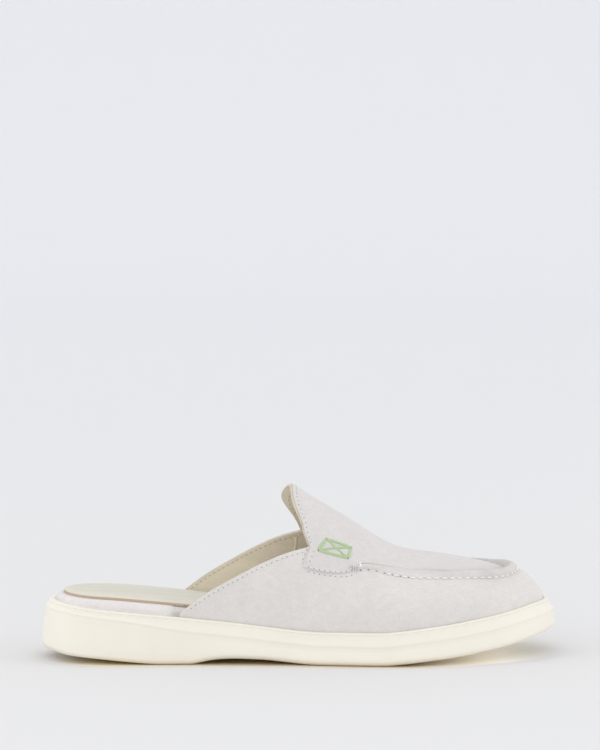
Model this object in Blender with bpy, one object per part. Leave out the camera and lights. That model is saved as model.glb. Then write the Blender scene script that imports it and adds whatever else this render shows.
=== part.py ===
"""A backless slip-on loafer for the right foot, empty and standing on its sole.

The heel points to -X and the toe to +X, and the outer side of the foot faces -Y. The origin is on the floor
under the middle of the shoe's box. Lengths are in metres.

Every form follows one outline, the widest line of the sole. A turn runs round it: 0 at the heel, up the outer
side to 1 at the toe, and back down the inner side to 2. A share along the shoe is 0 at the heel's end and 1 at
the toe's end.
"""

import math
from collections import namedtuple

import bmesh
import bpy
import numpy as np

# Outsole
SOLE_LENGTH = 0.2600
BALL_WIDTH = 0.0960
HEEL_THICKNESS = 0.0298
FOREFOOT_THICKNESS = 0.0160
TOE_THINNING = 0.0025
TOE_SPRING = 0.0127
ARCH_RISE = 0.0027
HEEL_BEVEL = 0.0062
CORNER_RADIUS = 0.0036
WALL_LEAN = 0.0032
RIM_RADIUS = 0.0007
RIM_DEPTH = 0.0020
SIDE_LEDGE = 0.0056
GROOVE_DROP = 0.0069
GROOVE_WIDTH = 0.0012
GROOVE_CUT = 0.0006

# Tread
BAR_GAP = 0.0024
BAR_CUT = 0.0012
BAR_MARGIN = 0.0090
HEEL_BAR_PITCH = 0.0078
FOREFOOT_BAR_PITCH = 0.0082
TREAD_STEP = 0.0008

# Midsole and insole
MIDSOLE_STAND = 0.0049
MIDSOLE_FRONT_STAND = 0.0022
MIDSOLE_EDGE_RADIUS = 0.0034
INSOLE_INSET = 0.0038
INSOLE_TOE_INSET = 0.0016
INSOLE_THICKNESS = 0.0024
INSOLE_EDGE_RADIUS = 0.0010
HEEL_CUP = 0.0008
HEEL_DIP = 0.0019
HEEL_DIP_END = 0.16

# Upper
WALL = 0.0022
INSTEP_RISE = 0.0716
OUTER_TOPLINE_RISE = 0.0434
INNER_TOPLINE_RISE = 0.0466
SIDE_BULGE = 0.0010
BULGE_TOP = math.radians(60)
TONGUE_SETBACK = 0.0110
TONGUE_BLEND = 0.0400
SEAM_WIDTH = 0.0046
SEAM_HEIGHT = 0.0025
LAP_THICKNESS = 0.0012
LAP_STEP = 0.0004
TAB_SLANT = 0.0044
TAB_BLEND = 0.0250
FAN_START = 0.54

# Clearances
REST_GAP = 0.0003
SIDE_GAP = 0.0004
TUCK_GAP = 0.0007

# How finely the forms are divided
OUTLINE_COLUMNS = 44
QUARTER_COLUMNS = 11
FRONT_COLUMNS = 21
WALL_ROWS = 6
THROAT_ROWS = 2
CROWN_ROWS = 8

# Middle and half width of the sole's widest line, as shares of the ball width
OutlineRow = namedtuple("OutlineRow", "along middle half")
OUTLINE = (
    OutlineRow(0.00, 0.000, 0.000),
    OutlineRow(0.05, 0.000, 0.272),
    OutlineRow(0.15, 0.000, 0.349),
    OutlineRow(0.30, -0.018, 0.342),
    OutlineRow(0.45, -0.045, 0.354),
    OutlineRow(0.60, -0.043, 0.432),
    OutlineRow(0.70, -0.010, 0.486),
    OutlineRow(0.80, 0.021, 0.465),
    OutlineRow(0.90, 0.045, 0.381),
    OutlineRow(0.96, 0.055, 0.263),
    OutlineRow(1.00, 0.058, 0.000),
)

# How far the heel's extra thickness, the toe's thinning (less than 0 where the forefoot is a little thicker),
# the toe spring, the arch and the heel bevel have come, how far the side groove lies below the rim as shares of
# its drop, and how far the side leans in at the groove and at the rim as shares of the lean
SoleRow = namedtuple("SoleRow", "along heel thin spring arch bevel groove lean rim")
SOLE = (
    SoleRow(0.000, 1.000, 0.00, 0.000, 0.00, 1.00, 0.62, 0.60, 1.25),
    SoleRow(0.016, 0.985, 0.00, 0.000, 0.00, 0.86, 0.62, 0.60, 1.21),
    SoleRow(0.049, 0.922, 0.00, 0.000, 0.00, 0.62, 0.62, 0.59, 1.12),
    SoleRow(0.085, 0.832, 0.00, 0.000, 0.00, 0.50, 0.62, 0.59, 1.06),
    SoleRow(0.120, 0.760, 0.00, 0.000, 0.00, 0.38, 0.63, 0.58, 1.00),
    SoleRow(0.170, 0.675, 0.00, 0.000, 0.00, 0.18, 0.70, 0.56, 1.00),
    SoleRow(0.205, 0.616, 0.00, 0.000, 0.00, 0.05, 0.80, 0.55, 1.00),
    SoleRow(0.225, 0.581, 0.00, 0.000, 0.00, 0.00, 0.87, 0.54, 1.00),
    SoleRow(0.283, 0.471, 0.00, 0.000, 0.00, 0.00, 0.99, 0.53, 1.00),
    SoleRow(0.302, 0.434, 0.00, 0.000, 0.32, 0.00, 1.00, 0.52, 1.00),
    SoleRow(0.329, 0.383, 0.00, 0.000, 0.82, 0.00, 1.00, 0.52, 1.00),
    SoleRow(0.365, 0.309, 0.00, 0.000, 1.00, 0.00, 1.00, 0.52, 1.00),
    SoleRow(0.418, 0.191, 0.00, 0.000, 0.86, 0.00, 1.00, 0.51, 1.00),
    SoleRow(0.470, 0.082, 0.00, 0.000, 0.42, 0.00, 1.00, 0.51, 1.00),
    SoleRow(0.504, 0.025, 0.00, 0.000, 0.10, 0.00, 1.00, 0.51, 1.00),
    SoleRow(0.535, 0.000, 0.00, 0.000, 0.00, 0.00, 1.00, 0.50, 1.00),
    SoleRow(0.640, 0.000, 0.00, 0.000, 0.00, 0.00, 1.00, 0.49, 1.00),
    SoleRow(0.690, 0.000, -0.05, 0.070, 0.00, 0.00, 1.00, 0.48, 1.00),
    SoleRow(0.723, 0.000, -0.10, 0.142, 0.00, 0.00, 1.00, 0.48, 1.00),
    SoleRow(0.777, 0.000, -0.18, 0.245, 0.00, 0.00, 1.00, 0.46, 1.00),
    SoleRow(0.820, 0.000, -0.25, 0.353, 0.00, 0.00, 1.00, 0.45, 1.00),
    SoleRow(0.873, 0.000, -0.31, 0.505, 0.00, 0.00, 1.00, 0.41, 1.00),
    SoleRow(0.913, 0.000, -0.32, 0.655, 0.00, 0.00, 1.00, 0.38, 1.00),
    SoleRow(0.955, 0.000, -0.27, 0.835, 0.00, 0.00, 1.00, 0.28, 1.00),
    SoleRow(0.985, 0.000, -0.06, 0.950, 0.00, 0.00, 1.00, 0.18, 1.01),
    SoleRow(1.000, 0.000, 0.28, 1.000, 0.00, 0.00, 1.00, 0.14, 1.02),
)

# The upper's foot: the ledge from the widest line to the upper, as shares of the side ledge, and the shape of
# the section that climbs from there. A fullness of 2 is an ellipse, and more is squarer. The bulge is a share of
# the side bulge.
FootRow = namedtuple("FootRow", "along ledge fullness bulge")
FOOT = (
    FootRow(0.00, 1.34, 2.06, 1.0),
    FootRow(0.10, 1.17, 2.06, 1.0),
    FootRow(0.24, 1.00, 2.06, 1.0),
    FootRow(0.75, 0.98, 2.06, 1.0),
    FootRow(0.88, 0.97, 1.85, 0.8),
    FootRow(0.96, 1.02, 1.60, 0.5),
    FootRow(1.00, 1.12, 1.45, 0.3),
)

# The instep line that the upper's two sides meet on: its height over the seat as shares of the instep rise, and
# its sideways place as shares of the ball width. Behind the tongue the line only guides the quarters.
InstepRow = namedtuple("InstepRow", "along rise middle")
INSTEP = (
    InstepRow(0.250, 1.310, 0.000),
    InstepRow(0.370, 1.160, 0.004),
    InstepRow(0.486, 0.980, 0.014),
    InstepRow(0.534, 0.876, 0.018),
    InstepRow(0.571, 0.796, 0.022),
    InstepRow(0.608, 0.714, 0.025),
    InstepRow(0.646, 0.627, 0.027),
    InstepRow(0.672, 0.570, 0.028),
    InstepRow(0.700, 0.523, 0.030),
    InstepRow(0.758, 0.470, 0.036),
    InstepRow(0.820, 0.408, 0.044),
)

# Height of the quarters' topline over the seat, as shares of each side's topline rise
ToplineRow = namedtuple("ToplineRow", "along rise")
TOPLINE = (
    ToplineRow(0.262, 0.085),
    ToplineRow(0.290, 0.232),
    ToplineRow(0.323, 0.389),
    ToplineRow(0.364, 0.552),
    ToplineRow(0.417, 0.752),
    ToplineRow(0.471, 0.915),
    ToplineRow(0.513, 1.000),
)

# Lower edge of the apron with its side tabs, in degrees of climb from the feather line to the instep line. The
# tab laps the quarter up to where the rolled seam takes over. Inside the seam the apron stands over or lies under
# the upper's face, as shares of the seam's height, and sinks most at the toe.
EdgeRow = namedtuple("EdgeRow", "along climb seam apron")
APRON_EDGE = (
    EdgeRow(0.498, 28.4, 0.0, 0.20),
    EdgeRow(0.539, 29.7, 0.0, 0.20),
    EdgeRow(0.575, 32.0, 0.0, 0.20),
    EdgeRow(0.592, 34.6, 0.0, 0.20),
    EdgeRow(0.606, 37.8, 0.3, 0.20),
    EdgeRow(0.624, 40.8, 0.9, 0.20),
    EdgeRow(0.650, 42.9, 1.0, 0.15),
    EdgeRow(0.690, 44.3, 1.0, 0.02),
    EdgeRow(0.735, 44.5, 1.0, -0.12),
    EdgeRow(0.800, 43.9, 1.0, -0.22),
    EdgeRow(0.860, 42.8, 1.0, -0.35),
    EdgeRow(0.908, 40.9, 1.0, -0.48),
    EdgeRow(0.930, 40.5, 1.0, -0.52),
    EdgeRow(0.955, 41.0, 1.0, -0.54),
    EdgeRow(1.000, 42.6, 1.0, -0.55),
)

# Steps in the upper's wall inside that edge: how far across the seam, and how high the rolled seam and the lap
# stand, as shares of the seam's width, the seam's height and the lap's thickness
FoldRow = namedtuple("FoldRow", "across seam lap")
FOLDS = (
    FoldRow(0.00, 0.00, 0.0),
    FoldRow(0.10, 0.62, 1.0),
    FoldRow(0.45, 1.00, 1.0),
    FoldRow(0.84, 0.84, 1.0),
)
APRON_START = 1.00

# Free edge of the tongue: how far it stands back from the throat on each side, as shares of the setback, for
# shares of the climb from the throat to the instep line
RimRow = namedtuple("RimRow", "climbed outer inner")
TONGUE_RIM = (
    RimRow(0.00, 0.06, 0.18),
    RimRow(0.15, 0.30, 0.56),
    RimRow(0.24, 0.37, 0.88),
    RimRow(0.34, 0.53, 1.06),
    RimRow(0.47, 0.69, 1.03),
    RimRow(0.65, 0.74, 0.90),
    RimRow(0.82, 0.73, 0.79),
    RimRow(1.00, 0.71, 0.71),
)

# The last row of the grid that the quarters still have
THROAT_ROW = WALL_ROWS + len(FOLDS) + THROAT_ROWS

# Where the tread bars lie, as shares along the shoe, and where the tread ends at the toe
TreadRow = namedtuple("TreadRow", "start end")
HEEL_TREAD = TreadRow(0.075, 0.285)
FOREFOOT_TREAD = TreadRow(0.545, 0.805)
TREAD_END = 0.827

SUEDE = (0.70, 0.67, 0.65, 1.0)
CREAM_RUBBER = (0.88, 0.85, 0.74, 1.0)
BEIGE_LEATHER = (0.62, 0.58, 0.48, 1.0)


def column(rows, name):
    """One named column of a table."""
    return np.array([getattr(row, name) for row in rows], float)


def cubic(known, values, at):
    """A natural cubic spline through the points (known, values), read at the places at."""
    span = np.diff(known)
    rise = np.diff(values) / span
    count = len(known)
    system = np.eye(count)
    right = np.zeros(count)
    for k in range(1, count - 1):
        system[k, k - 1 : k + 2] = span[k - 1], 2 * (span[k - 1] + span[k]), span[k]
        right[k] = 6 * (rise[k] - rise[k - 1])
    bend = np.linalg.solve(system, right)
    k = np.clip(np.searchsorted(known, at) - 1, 0, count - 2)
    ahead = np.clip(at, known[0], known[-1]) - known[k]
    slope = rise[k] - span[k] * (2 * bend[k] + bend[k + 1]) / 6
    curl = (bend[k + 1] - bend[k]) / (6 * span[k])
    return values[k] + ahead * (slope + ahead * (bend[k] / 2 + ahead * curl))


def steady(known, values, at):
    """A smooth curve through the points (known, values) that keeps flat runs flat and never overshoots."""
    span = np.diff(known)
    rise = np.diff(values) / span
    before, after = rise[:-1], rise[1:]
    weight_before, weight_after = 2 * span[1:] + span[:-1], span[1:] + 2 * span[:-1]
    level = before * after <= 0
    safe_before, safe_after = np.where(level, 1, before), np.where(level, 1, after)
    mean = (weight_before + weight_after) / (weight_before / safe_before + weight_after / safe_after)
    slope = np.concatenate([rise[:1], np.where(level, 0, mean), rise[-1:]])
    k = np.clip(np.searchsorted(known, at) - 1, 0, len(known) - 2)
    t = (np.clip(at, known[0], known[-1]) - known[k]) / span[k]
    turn_in = t * (1 - t) ** 2 * slope[k] - t**2 * (1 - t) * slope[k + 1]
    return values[k] + (3 * t**2 - 2 * t**3) * (values[k + 1] - values[k]) + span[k] * turn_in


def eased(value, start, end):
    """0 before start, 1 after end, and a smooth ramp between them."""
    t = np.clip((value - start) / (end - start), 0, 1)
    return t * t * (3 - 2 * t)


def reach_of(along):
    """Even steps of reach crowd towards the heel's and the toe's ends, which keeps both round."""
    return np.arccos(1 - 2 * np.asarray(along, float)) / math.pi


def along_of(reach):
    return (1 - np.cos(math.pi * reach)) / 2


def share_at(x):
    return np.clip(np.asarray(x) / SOLE_LENGTH + 0.5, 0, 1)


def folded(turn):
    """The side of a turn, -1 outer and 1 inner, and its reach, 0 at the heel and 1 at the toe."""
    turn = np.mod(turn, 2.0)
    return np.where(turn < 1.0, -1.0, 1.0), 1.0 - np.abs(1.0 - turn)


def bare_outline(turn):
    """The widest line before it is centred on the X axis."""
    side, reach = folded(turn)
    known = reach_of(column(OUTLINE, "along"))
    middle = cubic(known, column(OUTLINE, "middle"), reach)
    half = cubic(known, column(OUTLINE, "half"), reach)
    x = (along_of(reach) - 0.5) * SOLE_LENGTH
    return np.stack([x, (middle + side * half) * BALL_WIDTH], -1)


def centring():
    """How far sideways the widest line moves so that its box is centred."""
    y = bare_outline(np.linspace(0, 2, 801))[:, 1]
    return -(y.min() + y.max()) / 2


SHIFT_Y = centring()


def widest_line(turn):
    return bare_outline(turn) + (0.0, SHIFT_Y)


def outward(turn):
    """Unit vectors square to the widest line, pointing away from the shoe."""
    step = 1e-3
    along = widest_line(turn + step) - widest_line(turn - step)
    along /= np.linalg.norm(along, axis=-1, keepdims=True)
    return np.stack([along[..., 1], -along[..., 0]], -1)


def inset_line(turn, inset):
    inset = np.broadcast_to(inset, np.shape(turn))
    return widest_line(turn) - outward(turn) * inset[..., None]


def sole(name, x):
    """One of the sole's columns at x."""
    return steady(column(SOLE, "along"), column(SOLE, name), share_at(x))


def thickness(x):
    heel = (HEEL_THICKNESS - FOREFOOT_THICKNESS) * sole("heel", x)
    return FOREFOOT_THICKNESS + heel - TOE_THINNING * sole("thin", x)


def bottom_height(x):
    """Underside of the sole over the floor, before the layer in front of the tread is cut off."""
    lift = TOE_SPRING * sole("spring", x) + HEEL_BEVEL * sole("bevel", x)
    return lift + ARCH_RISE * sole("arch", x)


def rim_height(x):
    return TOE_SPRING * sole("spring", x) + thickness(x)


def seat_height(x):
    """Floor of the outsole's recess, where the midsole and the upper rest."""
    return rim_height(x) - RIM_DEPTH


def foot_value(name, turn):
    """One of the foot table's columns at a turn."""
    _, reach = folded(turn)
    return steady(column(FOOT, "along"), column(FOOT, name), along_of(reach))


def ledge(turn):
    """Distance from the widest line to the feather line, where the upper meets the sole."""
    return SIDE_LEDGE * foot_value("ledge", turn)


def feather_line(turn):
    return inset_line(turn, ledge(turn))


REACHES = np.linspace(0, 1, 801)
FOOT_X = (feather_line(REACHES)[:, 0] + feather_line(2 - REACHES)[:, 0]) / 2
FEATHER_TOE_X = FOOT_X[-1]


def reach_at(along):
    """Reach of the upper's column whose foot is at this share along the shoe."""
    return np.interp((np.asarray(along, float) - 0.5) * SOLE_LENGTH, FOOT_X, REACHES)


def foot_x(reach):
    """Where the upper's column of this reach stands, the mean of both sides."""
    return np.interp(reach, REACHES, FOOT_X)


def instep_point(reach):
    """Point of the instep line that the column of this reach climbs to. At the toe the columns fan out from it."""
    start = (FAN_START - 0.5) * SOLE_LENGTH
    run = FEATHER_TOE_X - start
    x = foot_x(reach)
    x = np.where(x < start, x, start + run * 2 / math.pi * np.sin(math.pi / 2 * (x - start) / run))
    known = column(INSTEP, "along")
    y = cubic(known, column(INSTEP, "middle"), share_at(x)) * BALL_WIDTH + SHIFT_Y
    z = seat_height(x) + INSTEP_RISE * cubic(known, column(INSTEP, "rise"), share_at(x))
    return np.stack([x, y, z], -1)


def upper_face(turn, climb):
    """Outer face of the upper. A climb of 0 is the feather line, and a quarter turn is the instep line."""
    _, reach = folded(turn)
    foot = feather_line(turn)
    top = instep_point(reach)
    base = seat_height(foot[..., 0]) + REST_GAP
    inward = 1 - np.cos(climb) ** (2 / foot_value("fullness", turn))
    bulge = SIDE_BULGE * foot_value("bulge", turn) * np.sin(math.pi * np.clip(climb / BULGE_TOP, 0, 1))
    plan = foot + (top[..., :2] - foot) * inward[..., None] + outward(turn) * bulge[..., None]
    z = base + (top[..., 2] - base) * np.sin(climb)
    return np.concatenate([plan, z[..., None]], -1)


def topline_climb(along, topline_rise):
    """Climb at which a quarter's topline lies."""
    reach = reach_at(along)
    x = foot_x(reach)
    rise = topline_rise * steady(column(TOPLINE, "along"), column(TOPLINE, "rise"), along) - REST_GAP
    whole = instep_point(reach)[..., 2] - seat_height(x) - REST_GAP
    return np.arcsin(np.clip(rise / whole, 0, 1))


def apron_climb(along):
    return np.radians(steady(column(APRON_EDGE, "along"), column(APRON_EDGE, "climb"), along))


def fold_climbs(along):
    """Climb of each step in the wall: one row for each fold, then one where the apron's face starts."""
    edge = apron_climb(along)
    turn = reach_at(along)
    nudge = 1e-3
    per_radian = np.linalg.norm(upper_face(turn, edge + nudge) - upper_face(turn, edge), axis=-1) / nudge
    across = np.append(column(FOLDS, "across"), APRON_START)
    return edge + SEAM_WIDTH * across[:, None] / per_radian


def climb_grid(alongs, topline_rise):
    """Climbs for all rows of one side's columns: wall, folds, throat rows, and crown rows in front of the
    throat. Behind the throat the rows shrink with the topline."""
    throat = TOPLINE[-1].along
    edges = fold_climbs(np.maximum(alongs, throat))
    wall = edges[0] * np.linspace(0, 1, WALL_ROWS + 1)[:-1, None]
    at_throat = topline_climb(throat, topline_rise)
    fold_end = fold_climbs(np.array([throat]))[-1, 0]
    kept = (at_throat - fold_end) / (math.pi / 2 - fold_end)
    level = edges[-1] + (math.pi / 2 - edges[-1]) * kept
    side = edges[-1] + (level - edges[-1]) * np.linspace(0, 1, THROAT_ROWS + 1)[1:, None]
    crown = level + (math.pi / 2 - level) * np.linspace(0, 1, CROWN_ROWS + 1)[1:, None]
    grid = np.concatenate([wall, edges, side, crown])
    behind = alongs <= throat
    grid[:, behind] *= topline_climb(alongs[behind], topline_rise) / at_throat
    return grid


def set_back(alongs, grid, side):
    """How far each point moves back along the shoe. Over the throat this makes the front's first column the
    tongue's rim, and under it the back edge of the tab, which slants."""
    throat = grid[THROAT_ROW]
    climbed = (grid - throat) / (math.pi / 2 - throat)
    rim = cubic(column(TONGUE_RIM, "climbed"), column(TONGUE_RIM, side), np.clip(climbed, 0, 1))
    edge = grid[WALL_ROWS]
    below = np.minimum(grid / edge, (throat - grid) / (throat - edge))
    back = np.where(climbed > 0, rim * TONGUE_SETBACK, np.clip(below, 0, 1) * TAB_SLANT)
    ahead = (alongs - TOPLINE[-1].along) * SOLE_LENGTH
    fade = np.where(ahead > 0, 1 - ahead / TONGUE_BLEND, 1 + ahead / TAB_BLEND)
    return back * np.clip(fade, 0, 1) ** 2


def grid_faces(index):
    """Quads between neighbours of a grid of vertex numbers, leaving out cells with a missing corner."""
    faces = []
    for row in range(index.shape[0] - 1):
        for k in range(index.shape[1] - 1):
            cell = [index[row, k], index[row, k + 1], index[row + 1, k + 1], index[row + 1, k]]
            if min(cell) >= 0 and len(set(cell)) == 4:
                faces.append([int(v) for v in cell])
            elif min(cell) >= 0 and len(set(cell)) == 3:
                faces.append([int(v) for v in dict.fromkeys(cell)])
    return faces


def vertex_normals(points, faces):
    """Unit normals at the vertices, each face weighing by its area."""
    normals = np.zeros_like(points)
    for face in faces:
        corner = points[face]
        square = np.cross(corner[2] - corner[0], corner[-1] - corner[1])
        normals[face] += square
    return normals / np.linalg.norm(normals, axis=1, keepdims=True)


def open_edges(faces):
    """Directed edges that only one face has."""
    pairs = {(a, b) for face in faces for a, b in zip(face, face[1:] + face[:1])}
    return [(a, b) for a, b in pairs if (b, a) not in pairs]


def make_object(name, points, faces, colour, roughness):
    """A closed mesh object with its faces pointing out and its own material."""
    mesh = bpy.data.meshes.new(name)
    mesh.from_pydata([tuple(p) for p in points], [], faces)
    shape = bmesh.new()
    shape.from_mesh(mesh)
    bmesh.ops.recalc_face_normals(shape, faces=shape.faces)
    shape.to_mesh(mesh)
    shape.free()
    mesh.shade_smooth()
    mesh.set_sharp_from_angle(angle=math.radians(40))
    material = bpy.data.materials.new(name)
    material.use_nodes = True
    surface = material.node_tree.nodes["Principled BSDF"]
    surface.inputs["Base Color"].default_value = colour
    surface.inputs["Roughness"].default_value = roughness
    surface.inputs["Metallic"].default_value = 0.0
    mesh.materials.append(material)
    made = bpy.data.objects.new(name, mesh)
    bpy.context.scene.collection.objects.link(made)
    return made


def outline_turns():
    """Turns of the outline's columns, the same reaches on both sides."""
    return np.linspace(0, 2, 2 * OUTLINE_COLUMNS + 1)[:-1]


def ring(inset, height):
    """A closed line round the shoe at this inset. Its height is a function of x."""
    plan = inset_line(outline_turns(), inset)
    return np.column_stack([plan, height(plan[:, 0])])


def loft(name, rings, colour, roughness):
    """A solid through closed rings from its underside to its top, both closed by strips across the shoe."""
    count = len(rings[0])
    half = count // 2
    faces = []
    for level in range(len(rings) - 1):
        low, high = level * count, (level + 1) * count
        for k in range(count):
            after = (k + 1) % count
            faces.append([low + k, low + after, high + after, high + k])
    for first in (0, (len(rings) - 1) * count):
        faces.append([first, first + 1, first + count - 1])
        for k in range(1, half - 1):
            faces.append([first + k, first + k + 1, first + count - k - 1, first + count - k])
        faces.append([first + half - 1, first + half, first + half + 1])
    return make_object(name, np.concatenate(rings), faces, colour, roughness)


def wall_span(x):
    """Height of the sole's side from its underside to the rim."""
    return rim_height(x) - bottom_height(x)


def above_bottom(share_of_radius):
    """Height function for a line this share of the corner's radius above the underside."""
    return lambda x: bottom_height(x) + np.minimum(CORNER_RADIUS, 0.3 * wall_span(x)) * share_of_radius


def below_rim(drop):
    return lambda x: rim_height(x) - np.minimum(drop, 0.6 * wall_span(x))


def groove_height(drop):
    """Height function for a line this far below the groove's upper edge."""
    return lambda x: rim_height(x) - np.minimum(GROOVE_DROP * sole("groove", x) + drop, 0.6 * wall_span(x))


def corner_rings():
    """The rounded lower corner of the sole's side, from the underside up to the widest line."""
    rings = []
    for angle in np.radians((90, 62, 36, 14)):
        rings.append(ring(CORNER_RADIUS * (1 - math.cos(angle)), above_bottom(1 - math.sin(angle))))
    return rings


def lean(name):
    """How far the sole's side has leaned in at the groove or at the rim, at every column of the outline."""
    return WALL_LEAN * sole(name, widest_line(outline_turns())[:, 0])


def side_rings():
    """The leaning side with its groove, from the widest line up to the rim's outer corner."""
    at_groove, at_rim = lean("lean"), lean("rim")
    return [
        ring(0.0, above_bottom(1.0)),
        ring(at_groove - GROOVE_CUT / 4, groove_height(GROOVE_WIDTH)),
        ring(at_groove + GROOVE_CUT, groove_height(GROOVE_WIDTH / 2)),
        ring(at_groove + GROOVE_CUT / 4, groove_height(0.0)),
        ring(at_rim - GROOVE_CUT / 4, below_rim(2 * RIM_RADIUS)),
    ]


def rim_rings():
    """The rounded rim and the recess inside it."""
    turns = outline_turns()
    inner = ledge(turns) - SIDE_GAP
    return [
        ring(lean("rim") + RIM_RADIUS / 3, below_rim(RIM_RADIUS / 3)),
        ring(lean("rim") + RIM_RADIUS, rim_height),
        ring(inner - RIM_RADIUS / 2, rim_height),
        ring(inner, below_rim(RIM_RADIUS)),
        ring(inner, seat_height),
    ]


def make_bars(tread, pitch):
    """One cutter of transverse grooves that leave the tread's main bars between them."""
    shape = bmesh.new()
    count = int((tread.end - tread.start) * SOLE_LENGTH / pitch) + 1
    for k in range(count):
        x = (tread.start - 0.5) * SOLE_LENGTH + k * pitch
        reach = reach_of(share_at(x))
        outer, inner = inset_line(np.array([reach, 2 - reach]), BAR_MARGIN)
        size = (BAR_GAP, inner[1] - outer[1], 2 * BAR_CUT)
        slope = (bottom_height(x + BAR_GAP) - bottom_height(x - BAR_GAP)) / (2 * BAR_GAP)
        made = bmesh.ops.create_cube(shape, size=1.0)["verts"]
        bmesh.ops.scale(shape, vec=size, verts=made)
        for vertex in made:
            vertex.co.z += slope * vertex.co.x + float(bottom_height(x))
            vertex.co.x += x
            vertex.co.y += (inner[1] + outer[1]) / 2
    mesh = bpy.data.meshes.new("bars")
    shape.to_mesh(mesh)
    shape.free()
    cutter = bpy.data.objects.new("bars", mesh)
    bpy.context.scene.collection.objects.link(cutter)
    cutter.hide_render = True
    cutter.display_type = "WIRE"
    return cutter


def make_toe_step():
    """A cutter that takes a thin layer off the underside in front of the tread."""
    ahead = np.linspace(reach_of(TREAD_END), 1, 10)
    turns = np.concatenate([ahead, 2 - ahead[-2::-1]])
    plan = inset_line(turns, -CORNER_RADIUS)
    x = plan[:, 0]
    deep = np.column_stack([plan, bottom_height(x) + TREAD_STEP])
    low = np.column_stack([plan, bottom_height(x) - CORNER_RADIUS])
    count = len(turns)
    faces = [[k, (k + 1) % count, count + (k + 1) % count, count + k] for k in range(count)]
    half = count // 2
    for first in (0, count):
        for k in range(half - 1):
            faces.append([first + k, first + k + 1, first + count - k - 2, first + count - k - 1])
        faces.append([first + half - 1, first + half, first + half + 1])
    cutter = make_object("toe_step", np.concatenate([low, deep]), faces, CREAM_RUBBER, 0.5)
    cutter.hide_render = True
    cutter.display_type = "WIRE"
    return cutter


def cut(target, cutter):
    modifier = target.modifiers.new(cutter.name, "BOOLEAN")
    modifier.operation = "DIFFERENCE"
    modifier.solver = "EXACT"
    modifier.object = cutter


def make_outsole():
    rings = corner_rings() + side_rings() + rim_rings()
    outsole = loft("outsole", rings, CREAM_RUBBER, 0.5)
    cut(outsole, make_toe_step())
    cut(outsole, make_bars(HEEL_TREAD, HEEL_BAR_PITCH))
    cut(outsole, make_bars(FOREFOOT_TREAD, FOREFOOT_BAR_PITCH))
    return outsole


def tuck(turns):
    """How far the midsole steps in to pass inside the upper: nothing at the open heel, the wall in front."""
    back = TOPLINE[0].along
    x = widest_line(turns)[:, 0]
    return (WALL + TUCK_GAP) * eased(share_at(x), back - 0.022, back - 0.006)


def midsole_top(x):
    """Top of the midsole. It stands over the rim, dips at the heel's end and thins towards the forefoot."""
    front = eased(share_at(x), TOPLINE[0].along + 0.05, 0.60)
    stand = MIDSOLE_STAND + (MIDSOLE_FRONT_STAND - MIDSOLE_STAND) * front
    return rim_height(x) + stand - HEEL_DIP * (1 - eased(share_at(x), 0, HEEL_DIP_END))


def rounded_top(inset, top, radius):
    """Rings of a rounded upper edge, from the side to the top."""
    rings = []
    for angle in np.radians((0, 30, 60, 90)):
        drop = radius * (1 - math.sin(angle))
        rings.append(ring(inset + radius * (1 - math.cos(angle)), lambda x, drop=drop: top(x) - drop))
    return rings


def make_midsole():
    turns = outline_turns()
    inset = ledge(turns) + tuck(turns)
    foot = ring(inset, lambda x: seat_height(x) + REST_GAP)
    rings = [foot] + rounded_top(inset, midsole_top, MIDSOLE_EDGE_RADIUS)
    return loft("midsole", rings, SUEDE, 0.9)


def insole_inset(turns):
    _, reach = folded(turns)
    toe = np.clip((along_of(reach) - 0.75) / 0.25, 0, 1)
    return ledge(turns) + INSOLE_INSET + INSOLE_TOE_INSET * toe


def insole_top(x):
    return midsole_top(x) + REST_GAP + INSOLE_THICKNESS


def make_insole():
    """The sock: a thin slab with a rounded edge and a crown that dips a little under the heel."""
    turns = outline_turns()
    inset = insole_inset(turns)
    width = BALL_WIDTH / 4
    sink = ring(inset + width / 2, insole_top)
    cup = np.clip(1 - share_at(sink[:, 0]) / 0.4, 0, 1) * HEEL_CUP
    sink[:, 2] -= cup
    foot = ring(inset, lambda x: midsole_top(x) + REST_GAP)
    edge = rounded_top(inset, lambda x: insole_top(x) - INSOLE_THICKNESS / 4, INSOLE_EDGE_RADIUS)
    crown = ring(inset + width / 6, insole_top)
    return loft("insole", [foot] + edge + [crown, sink], BEIGE_LEATHER, 0.55)


def upper_columns():
    """Reaches of the upper's columns: the quarter's, then the front's a hair in front of the throat."""
    throat = TOPLINE[-1].along
    quarter = reach_at(np.linspace(TOPLINE[0].along, throat, QUARTER_COLUMNS))
    front = np.linspace(reach_at(throat + LAP_STEP / SOLE_LENGTH), 1, FRONT_COLUMNS)
    return np.concatenate([quarter, front])


def wall_steps(alongs, rows):
    """How far the outer skin stands off the face at every point of one side: the lap and the rolled seam."""
    seam = steady(column(APRON_EDGE, "along"), column(APRON_EDGE, "seam"), alongs)
    apron = steady(column(APRON_EDGE, "along"), column(APRON_EDGE, "apron"), alongs)
    step = np.zeros((rows, len(alongs)))
    for k, fold in enumerate(FOLDS):
        step[WALL_ROWS + k] = seam * fold.seam * SEAM_HEIGHT + (1 - seam) * fold.lap * LAP_THICKNESS
    step[WALL_ROWS + len(FOLDS) :] = seam * apron * SEAM_HEIGHT + (1 - seam) * LAP_THICKNESS
    step[:, :QUARTER_COLUMNS] = 0
    return step


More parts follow.
